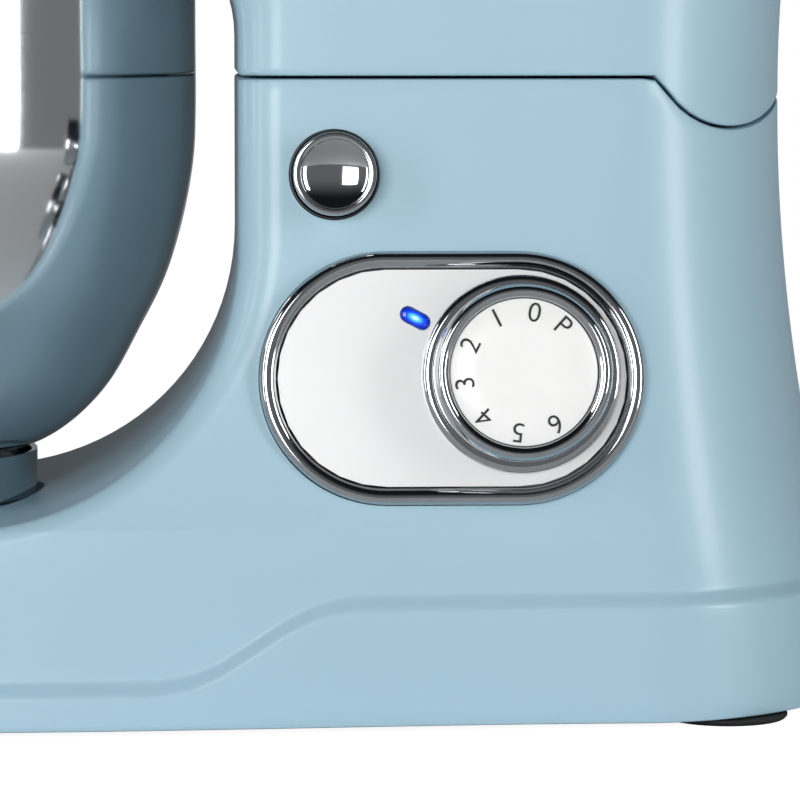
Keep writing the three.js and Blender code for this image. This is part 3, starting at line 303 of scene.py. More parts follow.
def add_mesh(name, points, faces):
    """A new object at the origin from points in millimetres; its faces are made to look outward."""
    mesh = bpy.data.meshes.new(name)
    mesh.from_pydata([(x * MM, y * MM, z * MM) for x, y, z in points], [], faces)
    tidy_mesh(mesh)
    obj = bpy.data.objects.new(name, mesh)
    bpy.context.scene.collection.objects.link(obj)
    return obj


def tidy_mesh(mesh, merge=1e-6):
    """Merges doubled points, drops collapsed faces and turns the faces outward."""
    bm = bmesh.new()
    bm.from_mesh(mesh)
    bmesh.ops.remove_doubles(bm, verts=bm.verts, dist=merge)
    bmesh.ops.dissolve_degenerate(bm, edges=bm.edges, dist=1e-7)
    bmesh.ops.recalc_face_normals(bm, faces=bm.faces)
    bm.to_mesh(mesh)
    bm.free()
    mesh.validate()


def strip_faces(count, rings, closed=True):
    """Quads between successive rings of the same number of points."""
    faces = []
    for k in range(rings - 1):
        for i in range(count if closed else count - 1):
            j = (i + 1) % count
            faces.append((k * count + i, k * count + j, (k + 1) * count + j, (k + 1) * count + i))
    return faces


def across_cap(start, count):
    """Closes a ring that mirrors itself in Y with strips that run straight across."""
    half = count // 2
    faces = [(start, start + 1, start + count - 1)]
    for i in range(1, half - 1):
        faces.append((start + i, start + i + 1, start + count - i - 1, start + count - i))
    faces.append((start + half - 1, start + half, start + half + 1))
    return faces


def skin(name, rings):
    """A closed skin over a stack of rings, capped across at both ends."""
    count = len(rings[0])
    points = [p for row in rings for p in row]
    faces = strip_faces(count, len(rings))
    faces += across_cap(0, count) + across_cap((len(rings) - 1) * count, count)
    return add_mesh(name, points, faces)


def carve(obj, tools, operation="DIFFERENCE"):
    """Cuts the tools out of obj, or keeps what they share, and removes the tools."""
    for tool in tools:
        step = obj.modifiers.new("cut", "BOOLEAN")
        step.operation = operation
        step.solver = "MANIFOLD"
        step.object = tool
    apply_modifiers(obj)
    for tool in tools:
        bpy.data.objects.remove(tool)
    return obj


def apply_modifiers(obj):
    """Bakes the modifiers into a plain mesh."""
    bpy.context.view_layer.update()
    graph = bpy.context.evaluated_depsgraph_get()
    mesh = bpy.data.meshes.new_from_object(obj.evaluated_get(graph))
    old = obj.data
    obj.modifiers.clear()
    obj.data = mesh
    bpy.data.meshes.remove(old)
    mesh.name = obj.name
    return obj


def smooth(obj, angle=32):
    """Smooth shading with edges kept sharp above the given angle."""
    obj.data.shade_smooth()
    obj.data.set_sharp_from_angle(angle=math.radians(angle))
    return obj


def turned(name, profile, sides=96, place=None):
    """A body of revolution about Z from a closed profile of (radius, height) pairs."""
    points, faces = [], []
    for i in range(sides):
        a = 2 * math.pi * i / sides
        points += [(r * math.cos(a), r * math.sin(a), z) for r, z in profile]
    n = len(profile)
    for i in range(sides):
        j = (i + 1) % sides
        for k in range(n):
            m = (k + 1) % n
            if profile[k][0] == 0 and profile[m][0] == 0:
                continue
            faces.append((i * n + k, j * n + k, j * n + m, i * n + m))
    obj = add_mesh(name, points, faces)
    if place:
        obj.data.transform(place)
    return obj


def rounded_profile(corners, radius=0.5, steps=4):
    """Rounds the corners of a closed profile; a corner may give its own radius as a third value."""
    result = []
    n = len(corners)
    for i, corner in enumerate(corners):
        here = Vector(corner[:2])
        before = Vector(corners[i - 1][:2]) - here
        after = Vector(corners[(i + 1) % n][:2]) - here
        size = corner[2] if len(corner) > 2 else radius
        size = min(size, before.length * 0.45, after.length * 0.45)
        if here.x <= 1e-6 or size <= 0:
            result.append(tuple(here))
            continue
        a, b = here + before.normalized() * size, here + after.normalized() * size
        for k in range(steps + 1):
            t = k / steps
            p = a * (1 - t) ** 2 + here * 2 * t * (1 - t) + b * t * t
            result.append((p.x, p.y))
    return result


def stadium(length, height, steps=40):
    r = height / 2
    points = []
    for sign in (1, -1):
        for i in range(steps + 1):
            a = math.pi * i / steps - math.pi / 2
            points.append((sign * (length / 2 - r + r * math.cos(a)), sign * r * math.sin(a)))
    return points


def outline_solid(name, rows, outline):
    """A closed body from (grow, height) rows: the outline grown by `grow` at each height."""
    rings = [[(x, y, z) for x, y in outline(grow)] for grow, z in rows]
    count = len(rings[0])
    points = [p for row in rings for p in row]
    faces = strip_faces(count, len(rings))
    low = [tuple(range(count))[::-1]]
    high = [tuple((len(rings) - 1) * count + i for i in range(count))]
    return add_mesh(name, points, faces + low + high)


def ring_solid(name, rows, outline):
    """A closed loop of a body, such as a bezel: (grow, height) rows that go once round its section."""
    rings = [[(x, y, z) for x, y in outline(grow)] for grow, z in rows]
    count = len(rings[0])
    points = [p for row in rings for p in row]
    faces = strip_faces(count, len(rings))
    last = (len(rings) - 1) * count
    faces += [(last + i, last + (i + 1) % count, (i + 1) % count, i) for i in range(count)]
    return add_mesh(name, points, faces)


def block(name, low, high):
    x0, y0, z0 = low
    x1, y1, z1 = high
    points = [(x, y, z) for x in (x0, x1) for y in (y0, y1) for z in (z0, z1)]
    faces = [(0, 1, 3, 2), (4, 6, 7, 5), (0, 4, 5, 1), (2, 3, 7, 6), (0, 2, 6, 4), (1, 5, 7, 3)]
    return add_mesh(name, points, faces)


def prism(name, outline, y0, y1):
    """A side view outline of (x, z) pairs, run across from y0 to y1."""
    n = len(outline)
    points = [(x, y, z) for y in (y0, y1) for x, z in outline]
    faces = [tuple(range(n)), tuple(range(n, 2 * n))[::-1]]
    faces += [(i, (i + 1) % n, n + (i + 1) % n, n + i) for i in range(n)]
    return add_mesh(name, points, faces)


def side_frame(x, z, tilt):
    """From a control's own frame (X along, Y up, Z out, in metres) to the row frame, on the base's side."""
    place = Matrix.Translation((x * MM, -side_at(x, z) * MM, z * MM))
    return place @ Matrix.Rotation(math.pi / 2 - tilt, 4, "X")


PANEL = side_frame(PANEL_X, PANEL_Z, PANEL_TILT)
DIAL = PANEL @ Matrix.Translation((DIAL_U * MM, DIAL_V * MM, 0))
BUTTON = side_frame(BUTTON_X, BUTTON_Z, BUTTON_TILT)


def finish_piece(obj, body, slot, material, *nodes):
    """Puts a piece on its body, hides the CAD parts that it stands for and gives it its material."""
    obj.data.materials.clear()
    obj.data.materials.append(material)
    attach(obj, body)
    if nodes:
        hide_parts(*nodes)
    return obj


# ---------------------------------------------------------------- materials


def linear(code):
    """A linear colour from a six-digit sRGB hex code."""
    channels = [int(code[i : i + 2], 16) / 255 for i in (0, 2, 4)]
    return [c / 12.92 if c <= 0.04045 else ((c + 0.055) / 1.055) ** 2.4 for c in channels] + [1.0]


def add_node(tree, kind, links=None, values=None, **settings):
    """Adds a node: links and values name its inputs, settings its properties."""
    node = tree.nodes.new(kind)
    for key, value in settings.items():
        setattr(node, key, value)
    for key, value in (values or {}).items():
        node.inputs[key].default_value = value
    for key, socket in (links or {}).items():
        tree.links.new(socket, node.inputs[key])
    return node


def new_material(name):
    """An empty material with its shader and an object-space position in millimetres."""
    material = bpy.data.materials.new(name)
    material.use_nodes = True
    tree = material.node_tree
    tree.nodes.clear()
    shader = add_node(tree, "ShaderNodeBsdfPrincipled")
    add_node(tree, "ShaderNodeOutputMaterial", {"Surface": shader.outputs["BSDF"]})
    place = add_node(tree, "ShaderNodeTexCoord").outputs["Object"]
    scale = add_node(tree, "ShaderNodeMapping", {"Vector": place}, {"Scale": (1000, 1000, 1000)})
    return material, tree, shader, scale.outputs["Vector"]


def finish(name, colour, gloss, relief=None, along=None, **constants):
    """A material whose colour, gloss and relief each follow a noise in millimetres.

    Each starts with the noise's size, detail and roughness. Colour then gives two shades, gloss two
    roughnesses and relief its depth. `along` turns or stretches the noise of the last two.
    """
    material, tree, shader, where = new_material(name)
    run = along(tree, where) if along else where
    fields = []
    for facts, vector in ((colour, where), (gloss, run), (relief, run)):
        if facts:
            values = {"Scale": 1 / facts[0], "Detail": facts[1], "Roughness": facts[2]}
            node = add_node(tree, "ShaderNodeTexNoise", {"Vector": vector}, values)
            fields.append(node.outputs["Fac"])
    shades = [linear(shade) if isinstance(shade, str) else shade for shade in colour[3:]]
    values = {6: shades[0], 7: shades[1]}
    node = add_node(tree, "ShaderNodeMix", {0: fields[0]}, values, data_type="RGBA")
    tree.links.new(node.outputs[2], shader.inputs["Base Color"])
    values = {"To Min": gloss[3], "To Max": gloss[4]}
    node = add_node(tree, "ShaderNodeMapRange", {"Value": fields[1]}, values)
    tree.links.new(node.outputs["Result"], shader.inputs["Roughness"])
    if relief:
        values = {"Distance": relief[3] * MM, "Strength": 1.0}
        node = add_node(tree, "ShaderNodeBump", {"Height": fields[2]}, values)
        tree.links.new(node.outputs["Normal"], shader.inputs["Normal"])
    for socket, value in constants.items():
        shader.inputs[socket.replace("_", " ").title()].default_value = value
    return material


def round_the_bowl(tree, where):
    """Makes a pattern run in rings round the bowl's axis: it changes with radius and height only."""
    values = {"Location": (-AXIS_X, 0, 0)}
    centre = add_node(tree, "ShaderNodeMapping", {"Vector": where}, values)
    parts = add_node(tree, "ShaderNodeSeparateXYZ", {"Vector": centre.outputs["Vector"]})
    squares = [
        add_node(tree, "ShaderNodeMath", {0: side, 1: side}, operation="MULTIPLY").outputs[0]
        for side in (parts.outputs["X"], parts.outputs["Y"])
    ]
    total = add_node(tree, "ShaderNodeMath", {0: squares[0], 1: squares[1]}).outputs[0]
    radius = add_node(tree, "ShaderNodeMath", {0: total}, operation="SQRT").outputs[0]
    lines = add_node(tree, "ShaderNodeCombineXYZ", {"X": radius, "Z": parts.outputs["Z"]})
    return lines.outputs["Vector"]


def along_the_shaft(tree, where):
    """Draws a pattern out round an upright shaft, as a lathe tool does."""
    stretch = {"Scale": (0.15, 0.15, 3.0)}
    return add_node(tree, "ShaderNodeMapping", {"Vector": where}, stretch).outputs["Vector"]


def moulded(name, dark, light, rough, grain=0.6, depth=0.012, coat=0.0):
    """Injection-moulded plastic or rubber: a fine spark-eroded grain from its mould."""
    gloss = (grain, 3.0, 0.5, rough - 0.05, rough + 0.05)
    return finish(name, (8.0, 3.0, 0.5, dark, light), gloss, (grain, 2.0, 0.5, depth), coat_weight=coat)


def glowing_lens():
    """Clear blue lens over a lit diode: palest over the diode, deep blue at the rim."""
    material, tree, shader, where = new_material("lit_blue_lens")
    centre = PANEL @ Vector((LENS_U * MM, LENS_V * MM, 2.6 * MM))
    steps = (
        {"Location": [-c / MM for c in centre]},
        {"Rotation": (0, LENS_TILT, 0)},
        {"Scale": (1 / 3.6, 0.2, 1 / 1.7)},
    )
    for values in steps:
        where = add_node(tree, "ShaderNodeMapping", {"Vector": where}, values).outputs["Vector"]
    away = add_node(tree, "ShaderNodeVectorMath", {0: where}, operation="LENGTH")
    ramp = add_node(tree, "ShaderNodeValToRGB", {"Fac": away.outputs["Value"]})
    ramp.color_ramp.elements[0].color = linear("E8FFFF")
    ramp.color_ramp.elements[1].color = linear("0A1F8C")
    for place, code in ((0.35, "5CC8FF"), (0.7, "1550E8")):
        ramp.color_ramp.elements.new(place).color = linear(code)
    tree.links.new(ramp.outputs["Color"], shader.inputs["Emission Color"])
    constants = {"Emission Strength": 1.3, "Base Color": linear("0A1F8C"), "Roughness": 0.08}
    for socket, value in constants.items():
        shader.inputs[socket].default_value = value
    return material


def circuit_board():
    """Green solder mask over glass laminate, with the weave faintly showing."""
    material, tree, shader, where = new_material("solder_masked_laminate")
    weave = add_node(tree, "ShaderNodeTexWave", {"Vector": where}, {"Scale": 2.0})
    values = {6: linear("12401F"), 7: linear("1B5A2C")}
    shade = add_node(tree, "ShaderNodeMix", {0: weave.outputs["Fac"]}, values, data_type="RGBA")
    tree.links.new(shade.outputs[2], shader.inputs["Base Color"])
    shader.inputs["Roughness"].default_value = 0.3
    return material


MATERIALS = {}


def make_materials(looks):
    """Makes each material once and gives every CAD node the one its slot asks for."""
    paints = [[c * share for c in looks.paint] + [1.0] for share in (0.985, 1.015)]
    cast_grain, bronze_grain = (0.9, 5.0, 0.6), (0.5, 4.0, 0.5)
    MATERIALS.update(
        # Enamel sprayed on a die casting: a satin gloss under a clear coat, with a faint orange peel.
        paint=finish(
            "powder_blue_enamel",
            (60.0, 2.0, 0.5, *paints),
            (14.0, 4.0, 0.5, 0.40, 0.47),
            (1.6, 2.0, 0.5, 0.004),
            coat_weight=0.3,
            coat_roughness=0.22,
        ),
        # Chrome over polished metal: mirror bright, with fine wiping marks that break the gloss a little.
        chrome=finish(
            "polished_chrome",
            (9.0, 3.0, 0.5, "B0B3B6", "BEC0C3"),
            (3.0, 6.0, 0.7, 0.03, 0.09),
            metallic=1.0,
        ),
        # Stainless steel polished on a lathe: hair lines that run round the bowl.
        bowl_steel=finish(
            "spun_stainless_steel",
            (25.0, 3.0, 0.5, "D2D4D6", "DCDEDF"),
            (0.35, 4.0, 0.6, 0.045, 0.11),
            (0.35, 4.0, 0.6, 0.0015),
            round_the_bowl,
            metallic=1.0,
        ),
        # Bead-blasted and lacquered aluminium plate: a fine even grain and soft broad highlights.
        satin_panel=finish(
            "bead_blasted_aluminium",
            (30.0, 1.0, 0.5, "DCDCDC", "E2E2E2"),
            (0.5, 2.0, 0.5, 0.30, 0.42),
            (0.28, 1.0, 0.5, 0.006),
            metallic=0.6,
        ),
        # Turned and ground steel: grey and satin, with fine tool lines.
        satin_metal=finish(
            "machined_steel",
            (12.0, 3.0, 0.5, "8E9194", "A2A4A7"),
            (0.6, 4.0, 0.5, 0.22, 0.38),
            (0.6, 4.0, 0.5, 0.004),
            along_the_shaft,
            metallic=1.0,
        ),
        # Burnished cast aluminium, as on a beater: a soft grain with slightly darker low spots.
        cast_alloy=finish(
            "burnished_cast_aluminium",
            (*cast_grain, "9B9DA0", "BFC1C3"),
            (*cast_grain, 0.32, 0.48),
            (*cast_grain, 0.02),
            metallic=1.0,
        ),
        # Sintered bronze: a warm metal with an open, slightly pitted grain.
        bronze=finish(
            "sintered_bronze",
            (*bronze_grain, "8A6A38", "B38F50"),
            (*bronze_grain, 0.30, 0.50),
            (*bronze_grain, 0.015),
            metallic=1.0,
        ),
        # Mouldings: satin black nylon, dull rubber, glossier white ABS, and ink printed on it.
        black_plastic=moulded("black_moulded_nylon", "0E0F10", "151617", 0.42),
        rubber=moulded("black_moulded_rubber", "0A0A0B", "101011", 0.68, 0.9, 0.03),
        white_face=moulded("white_moulded_abs", "ECECEA", "F2F2F0", 0.33, 0.5, 0.003, 0.15),
        ink=moulded("printed_black_ink", "161618", "1E1E21", 0.5, 0.3, 0.002),
        lens=glowing_lens(),
        board=circuit_board(),
    )
    slots = {entry["node"]: entry["material_slot"] for entry in frame["record"]["subparts"]}
    for node, obj in NODES.items():
        obj.data.materials.clear()
        obj.data.materials.append(MATERIALS["satin_panel" if node == "panel_plate" else slots[node]])


# ---------------------------------------------------------------- painted shells


def level(z):
    return lambda x: z


def base_rings(inset=0.0, fine=1):
    """Rings of the base's skin from its lower edge to the seam. With an inset they bound the hollow."""
    rings = []

    def add(height, **facts):
        rings.append(ring(base_point, height, inset=facts.pop("inset", inset), **facts))

    if inset:
        add(level(BASE_LOW - 6), out=LEDGE)
    else:
        for draw, up in ((1.0, 0.0), (0.3, 0.3), (0.0, 1.0)):
            add(level(BASE_LOW + up), out=LEDGE, inset=draw)
    crease_low, crease_tall = -1.8 - inset, 5.4
    for i in range(1, 4 * fine):
        t = i / (4 * fine)
        add(lambda x: lerp(BASE_LOW + 1, style_line(x) + crease_low, t), out=LEDGE)
    for i in range(8 * fine + 1):
        t = i / (8 * fine)
        add(lambda x: style_line(x) + crease_low + crease_tall * t, out=LEDGE * (1 - ease(t)))
    for i in range(1, 4 * fine):
        t = i / (4 * fine)
        top = BASE_TOP - inset - DECK_EDGE
        add(lambda x: lerp(style_line(x) + crease_low + crease_tall, top, t))
    for i in range(4 * fine, -1, -1):
        angle = (math.pi / 2) * i / (4 * fine)
        add(level(BASE_TOP - inset - DECK_EDGE * (1 - math.cos(angle))))
    for i in range(12 * fine + 1):
        angle = (math.pi / 2) * i / (12 * fine)
        z = BASE_TOP + COVE_RADIUS - (COVE_RADIUS + inset) * math.cos(angle)
        add(level(z), column=True)
    shoulder = BASE_TOP + COVE_RADIUS
    gap = PIVOT_ROUND + SEAM_GAP + (WALL + 1 if inset else 0)

    def seam(x):
        return seam_height(x, -(WALL + 1) if inset else 0.0, gap)

    for i in range(1, 5 * fine + 1):
        t = i / (5 * fine)
        add(lambda x: lerp(shoulder, seam(x) - (0 if inset else 1.0), t), column=True)
    if not inset:
        add(lambda x: seam(x) - 0.3, column=True, inset=0.3)
        add(lambda x: seam(x), column=True, inset=1.0)
    return rings


def head_rings(inset=0.0, fine=1, upper=False):
    """Rings of the head's skin, of the lower shell or of the crown."""
    rings = []
    part = HEAD_PART + (1.6 if upper else -1.6)
    lips = ((1.0, 0.0), (0.3, 0.3), (0.0, 1.0))

    def add(height, **facts):
        rings.append(ring(head_point, height, inset=facts.pop("inset", inset), **facts))

    if upper:
        for draw, up in lips if not inset else ((inset, -6.0),):
            add(level(part + up), inset=draw)
        for i in range(1, 15 * fine + 1):
            rise = math.sin(math.radians(86.5) * i / (15 * fine))
            z = HEAD_PART + (HEAD_TOP - HEAD_PART - inset) * rise
            if z > part + 1.2:
                add(level(z), shrink=(1 - rise**DOME_POWER) ** (1 / DOME_POWER))
        return rings

    def seam(x):
        thick = WALL if inset else 0
        return seam_height(x, SEAM_GAP + thick, PIVOT_ROUND - thick)

    if not inset:
        add(seam, neck=True, inset=1.0)
        add(lambda x: seam(x) + 0.3, neck=True, inset=0.3)
    low = 0.0 if inset else 1.0
    for i in range(4 * fine):
        t = i / (4 * fine)
        add(lambda x: lerp(seam(x) + low, COVE_TOP_Z, t), neck=True)
    for i in range(8 * fine + 1):
        angle = (math.pi / 2) * i / (8 * fine)
        add(level(COVE_TOP_Z + (COVE_TOP_RADIUS + inset) * math.sin(angle)), neck=True)
    for i in range(6 * fine + 1):
        angle = (math.pi / 2) * i / (6 * fine)
        add(level(HEAD_UNDER + inset + HEAD_EDGE * (1 - math.cos(angle))))
    if inset:
        add(level(HEAD_PART + 6))
    else:
        for draw, down in reversed(lips):
            add(level(part - down), inset=draw)
    return rings


def bar_along_x(name, radius, x0, x1, z):
    turn = Matrix.Translation((0, 0, z * MM)) @ Matrix.Rotation(math.pi / 2, 4, "Y")
    return turned(name, [(0, x0), (radius, x0), (radius, x1), (0, x1)], 96, turn)


def disc(name, radius, z0, z1, x=0.0, y=0.0, place=None, sides=96):
    shift = Matrix.Translation((x * MM, y * MM, 0))
    return turned(name, [(0, z0), (radius, z0), (radius, z1), (0, z1)], sides, (place or Matrix()) @ shift)


def side_lug(half, reach, span, lean=250.0):
    """The slot that a hinge lug passes through, as side view prisms left and right."""
    tools = []
    direction = math.radians(lean)
    dx, dz = math.cos(direction), math.sin(direction)
    points = []
    for i in range(17):
        a = direction + math.pi / 2 + math.pi * i / 16
        points.append((PIVOT_X + half * math.cos(a), PIVOT_Z + half * math.sin(a)))
    tip = (PIVOT_X + reach * dx, PIVOT_Z + reach * dz)
    points += [(tip[0] + half * dz, tip[1] - half * dx), (tip[0] - half * dz, tip[1] + half * dx)]
    for sign in (1, -1):
        low, high = sorted((sign * span[0], sign * span[1]))
        tools.append(prism("lug_slot", points, low, high))
    return tools


def swept_slots(span):
    """The head's openings for the hinge lugs through its whole tilt."""
    points = [(PIVOT_X, PIVOT_Z)]
    for i in range(13):
        a = math.radians(lerp(226, 314, i / 12))
        points.append((PIVOT_X + 34 * math.cos(a), PIVOT_Z + 34 * math.sin(a)))
    tools = []
    for sign in (1, -1):
        low, high = sorted((sign * span[0], sign * span[1]))
        tools.append(prism("swept_slot", points, low, high))
    return tools


def make_base():
    """The painted base and column: one casting with its cove, style line and seam."""
    body = skin("base_shell", base_rings(0.0, 2))
    hollow = skin("hollow", base_rings(WALL, 1))
    panel = outline_solid(
        "panel_pocket", [(0, -2.6), (0, 20)], lambda g: stadium(PANEL_LENGTH + 0.5, PANEL_HEIGHT + 0.5)
    )
    panel.data.transform(PANEL)
    tools = [
        hollow,
        panel,
        disc("button_bore", SLEEVE_RADIUS + 0.15, -30, 20, place=BUTTON),
        disc("seat_pocket", FOOT_OUTER + 2, BASE_TOP, BASE_TOP + 12, AXIS_X),
        block("pad_pocket", (84, -26, SEAM - 1.6), (108, 26, SEAM + 2)),
        block("strike_slot", (BUTTON_X - 24, -4.4, SEAM - 14), (BUTTON_X + 12, 4.4, SEAM + 2)),
        *side_lug(8, 44, LUG_SLOTS),
    ]
    carve(body, tools)
    smooth(body, 30)
    finish_piece(body, "base", "paint", MATERIALS["paint"], "base_housing")


def hub_bore():
    """The round hole for the attachment hub through the head's nose."""
    return bar_along_x("hub_bore", HUB_BORE, NOSE_X - 37, NOSE_X + 33, HUB_Z)


def make_head():
    """The head's painted lower shell and crown."""
    lower = skin("head_lower_casing", head_rings(0.0, 2))
    tools = [
        skin("hollow", head_rings(WALL, 1)),
        disc("drive_hole", 33, HEAD_UNDER - 4, HEAD_UNDER + 14, AXIS_X),
        block("strike_hole", (BUTTON_X - 7.3, -3.3, SEAM - 4), (BUTTON_X + 7.3, 3.3, SEAM + 8)),
        hub_bore(),
        *swept_slots(LUG_SLOTS),
    ]
    carve(lower, tools)
    smooth(lower, 30)
    finish_piece(lower, "head", "paint", MATERIALS["paint"], "head_lower_shell")
    upper = skin("head_crown", head_rings(0.0, 2, upper=True))
    carve(upper, [skin("hollow", head_rings(WALL, 1, True)), hub_bore()])
    smooth(upper, 30)
    finish_piece(upper, "head", "paint", MATERIALS["paint"], "head_upper_shell")


def make_trim_band():
    """The bright band between the head's two shells, slightly proud and rounded."""
    rings = []
    half = 1.3
    for i in range(9):
        angle = math.pi * (i / 8 - 0.5)
        z = HEAD_PART + half * math.sin(angle)
        rings.append(ring(head_point, level(z), inset=-0.1 - 0.6 * math.cos(angle)))
    inner = [ring(head_point, level(HEAD_PART + up), inset=2.4) for up in (half, -half)]
    rows = rings + inner
    count = len(rows[0])
    points = [p for row in rows for p in row]
    faces = strip_faces(count, len(rows))
    last = (len(rows) - 1) * count
    faces += [(last + i, last + (i + 1) % count, (i + 1) % count, i) for i in range(count)]
    band = add_mesh("head_band", points, faces)
    carve(band, [hub_bore()])
    smooth(band, 40)
    finish_piece(band, "head", "chrome", MATERIALS["chrome"], "trim_band")


# ---------------------------------------------------------------- turned pieces


def curve_through(points, steps=6):
    """A Catmull-Rom curve through (radius, height) points."""
    result = []
    for i in range(len(points) - 1):
        p0 = Vector(points[max(0, i - 1)])
        p1, p2 = Vector(points[i]), Vector(points[i + 1])
        p3 = Vector(points[min(len(points) - 1, i + 2)])
        for k in range(steps):
            t = k / steps
            p = 0.5 * (2 * p1 + (p2 - p0) * t + (2 * p0 - 5 * p1 + 4 * p2 - p3) * t**2)
            p += 0.5 * (3 * p1 - p0 - 3 * p2 + p3) * t**3
            result.append((max(0.0, p.x), p.y))
    return result + [tuple(points[-1])]


def offset_curve(points, distance):
    """The curve moved sideways towards its axis by a distance."""
    result = []
    for i, (r, z) in enumerate(points):
        a, b = Vector(points[max(0, i - 1)]), Vector(points[min(len(points) - 1, i + 1)])
        along = (b - a).normalized()
        result.append((max(0.0, r - along.y * distance), z + along.x * distance))
    return result


def make_bowl(looks):
    """The drawn steel bowl with its rolled rim, and the foot ring welded under it."""
    wall = looks.bowl_wall / MM
    sweep = [(0, 10), (22, 10.1), (44, 11.6), (60, 15), (72, 21.6), (83, 33), (92, 49), (99, 63), (104, 79)]
    sweep += [(107.2, 96), (BOWL_RADIUS, 111), (BOWL_RADIUS, 131), (BOWL_RADIUS, BOWL_RIM - 3 - BASE_TOP)]
    outer = curve_through([(r, BASE_TOP + up) for r, up in sweep])
    inner = offset_curve(outer, wall)[::-1]
    inner[-1] = (0, outer[0][1] + wall)
    bead, rim = [], looks.rim_bead / MM
    for i in range(1, 12):
        a = math.radians(-125 + 250 * i / 12)
        round_x, round_z = rim * math.cos(a), rim * math.sin(a)
        bead.append((BOWL_RADIUS + 0.1 + round_x, BOWL_RIM - rim + round_z))
    place = Matrix.Translation((AXIS_X * MM, 0, 0))
    bowl = smooth(turned("steel_bowl", outer + bead + inner, 160, place), 50)
    finish_piece(bowl, "mixing_bowl", "bowl_steel", MATERIALS["bowl_steel"], "bowl")
    low, high = BASE_TOP + 1, BASE_TOP + 13.8
    section = [(FOOT_INNER, low), (FOOT_OUTER, low, 0.5), (FOOT_OUTER, high), (FOOT_INNER, high - 0.4)]
    section = rounded_profile(section, 0.3)
    foot = turned("bowl_foot_ring", section, 160, place)
    lugs = bmesh.new()
    lugs.from_mesh(foot.data)
    for start in (0, 120, 240):
        rows = []
        for z in (BASE_TOP + 1.8, BASE_TOP + 4):
            for radius in (56.8, 60.6):
                for i in range(9):
                    a = math.radians(start - 17 + 34 * i / 8)
                    x, y = AXIS_X + radius * math.cos(a), radius * math.sin(a)
                    rows.append(lugs.verts.new((x * MM, y * MM, z * MM)))
        for i in range(8):
            a, b, c, d = i, 9 + i, 18 + i, 27 + i
            sides = ((a, a + 1, b + 1, b), (c, d, d + 1, c + 1))
            sides += ((a, c, c + 1, a + 1), (b, b + 1, d + 1, d))
            for quad in sides:
                lugs.faces.new([rows[k] for k in quad])
        for a in (0, 8):
            quad = [rows[k + a] for k in (0, 9, 27, 18)]
            lugs.faces.new(quad if a == 0 else quad[::-1])
    bmesh.ops.recalc_face_normals(lugs, faces=lugs.faces)
    lugs.to_mesh(foot.data)
    lugs.free()
    smooth(foot, 35)
    finish_piece(foot, "mixing_bowl", "bowl_steel", MATERIALS["bowl_steel"], "bowl_foot")


def make_dial():
    """The speed dial: fixed collar, chrome knob and white face with its numbers."""
    collar = rounded_profile(
        [(8, 2.5), (COLLAR_RADIUS, 2.5, 0.2), (COLLAR_RADIUS, 4.0, 0.8)]
        + [(COLLAR_RADIUS - 1.2, 4.7, 0.6), (8, 4.5)]
    )
    piece = smooth(turned("dial_surround", collar, 160, DIAL), 50)
    finish_piece(piece, "base", "chrome", MATERIALS["chrome"], "dial_collar")
    well = DIAL_FACE_RADIUS + 0.2
    top = DIAL_PROUD
    knob = rounded_profile(
        [(5, 4.95), (DIAL_RADIUS - 0.5, 4.95, 0.3)]
        + [(DIAL_RADIUS, 5.6, 0.4), (DIAL_RADIUS - 0.15, top - 2.4, 1.2)]
        + [(DIAL_RADIUS - 1.3, top - 0.3, 1.2), (DIAL_RADIUS - 2.6, top, 0.9), (well + 0.3, top - 0.9, 0.5)]
        + [(well, top - 1.6, 0.3), (well, top - 3, 0.1), (5, top - 3, 0)],
        0.5,
    )
    piece = smooth(turned("dial_grip", knob, 160, DIAL), 50)
    finish_piece(piece, "dial", "chrome", MATERIALS["chrome"], "dial_knob")
    edge = DIAL_FACE_RADIUS
    face = [(0, top - 2.75), (edge, top - 2.75), (edge, top - 1.5), (edge - 0.3, top - 1.2)]
    face += [(12, top - 1.04), (0, top - 1.0)]
    piece = smooth(turned("dial_disc", face, 128, DIAL), 50)
    finish_piece(piece, "dial", "white_face", MATERIALS["white_face"], "dial_face")


def make_numbers(looks):
    """The dial's numbers, from the off mark round to the top speed, printed as a thin film of ink."""
    angles = [47.5] + [79.8 + 36.8 * speed for speed in range(7)]
    circle = 16.3
    parts = []
    for angle, text in zip(map(math.radians, angles), "P0123456"):
        words = bpy.data.curves.new("number", "FONT")
        words.body = text
        words.size = looks.number_size
        words.align_x, words.align_y = "CENTER", "CENTER"
        words.offset = -0.045 * MM
        words.extrude = 0.03 * MM
        words.resolution_u = 6
        temp = bpy.data.objects.new("number", words)
        bpy.context.scene.collection.objects.link(temp)
        bpy.context.view_layer.update()
        graph = bpy.context.evaluated_depsgraph_get()
        mesh = bpy.data.meshes.new_from_object(temp.evaluated_get(graph))
        bpy.data.objects.remove(temp)
        middle = sum((v.co for v in mesh.vertices), Vector()) / max(1, len(mesh.vertices))
        low = min(v.co.y for v in mesh.vertices)
        high = max(v.co.y for v in mesh.vertices)
        mesh.transform(Matrix.Translation((-middle.x, -(low + high) / 2, 0)))
        spot = Vector((circle * math.cos(angle), circle * math.sin(angle), 0)) * MM
        height = DIAL_PROUD - 1.0
        turn = Matrix.Rotation(angle - math.pi / 2, 4, "Z")
        mesh.transform(DIAL @ Matrix.Translation(spot + Vector((0, 0, height * MM))) @ turn)
        parts.append(mesh)
    bm = bmesh.new()
    for mesh in parts:
        bm.from_mesh(mesh)
        bpy.data.meshes.remove(mesh)
    bmesh.ops.remove_doubles(bm, verts=bm.verts, dist=1e-7)
    mesh = bpy.data.meshes.new("dial_numbers")
    bm.to_mesh(mesh)
    bm.free()
    obj = bpy.data.objects.new("dial_numbers", mesh)
    bpy.context.scene.collection.objects.link(obj)
    finish_piece(obj, "dial", "white_face", MATERIALS["ink"])


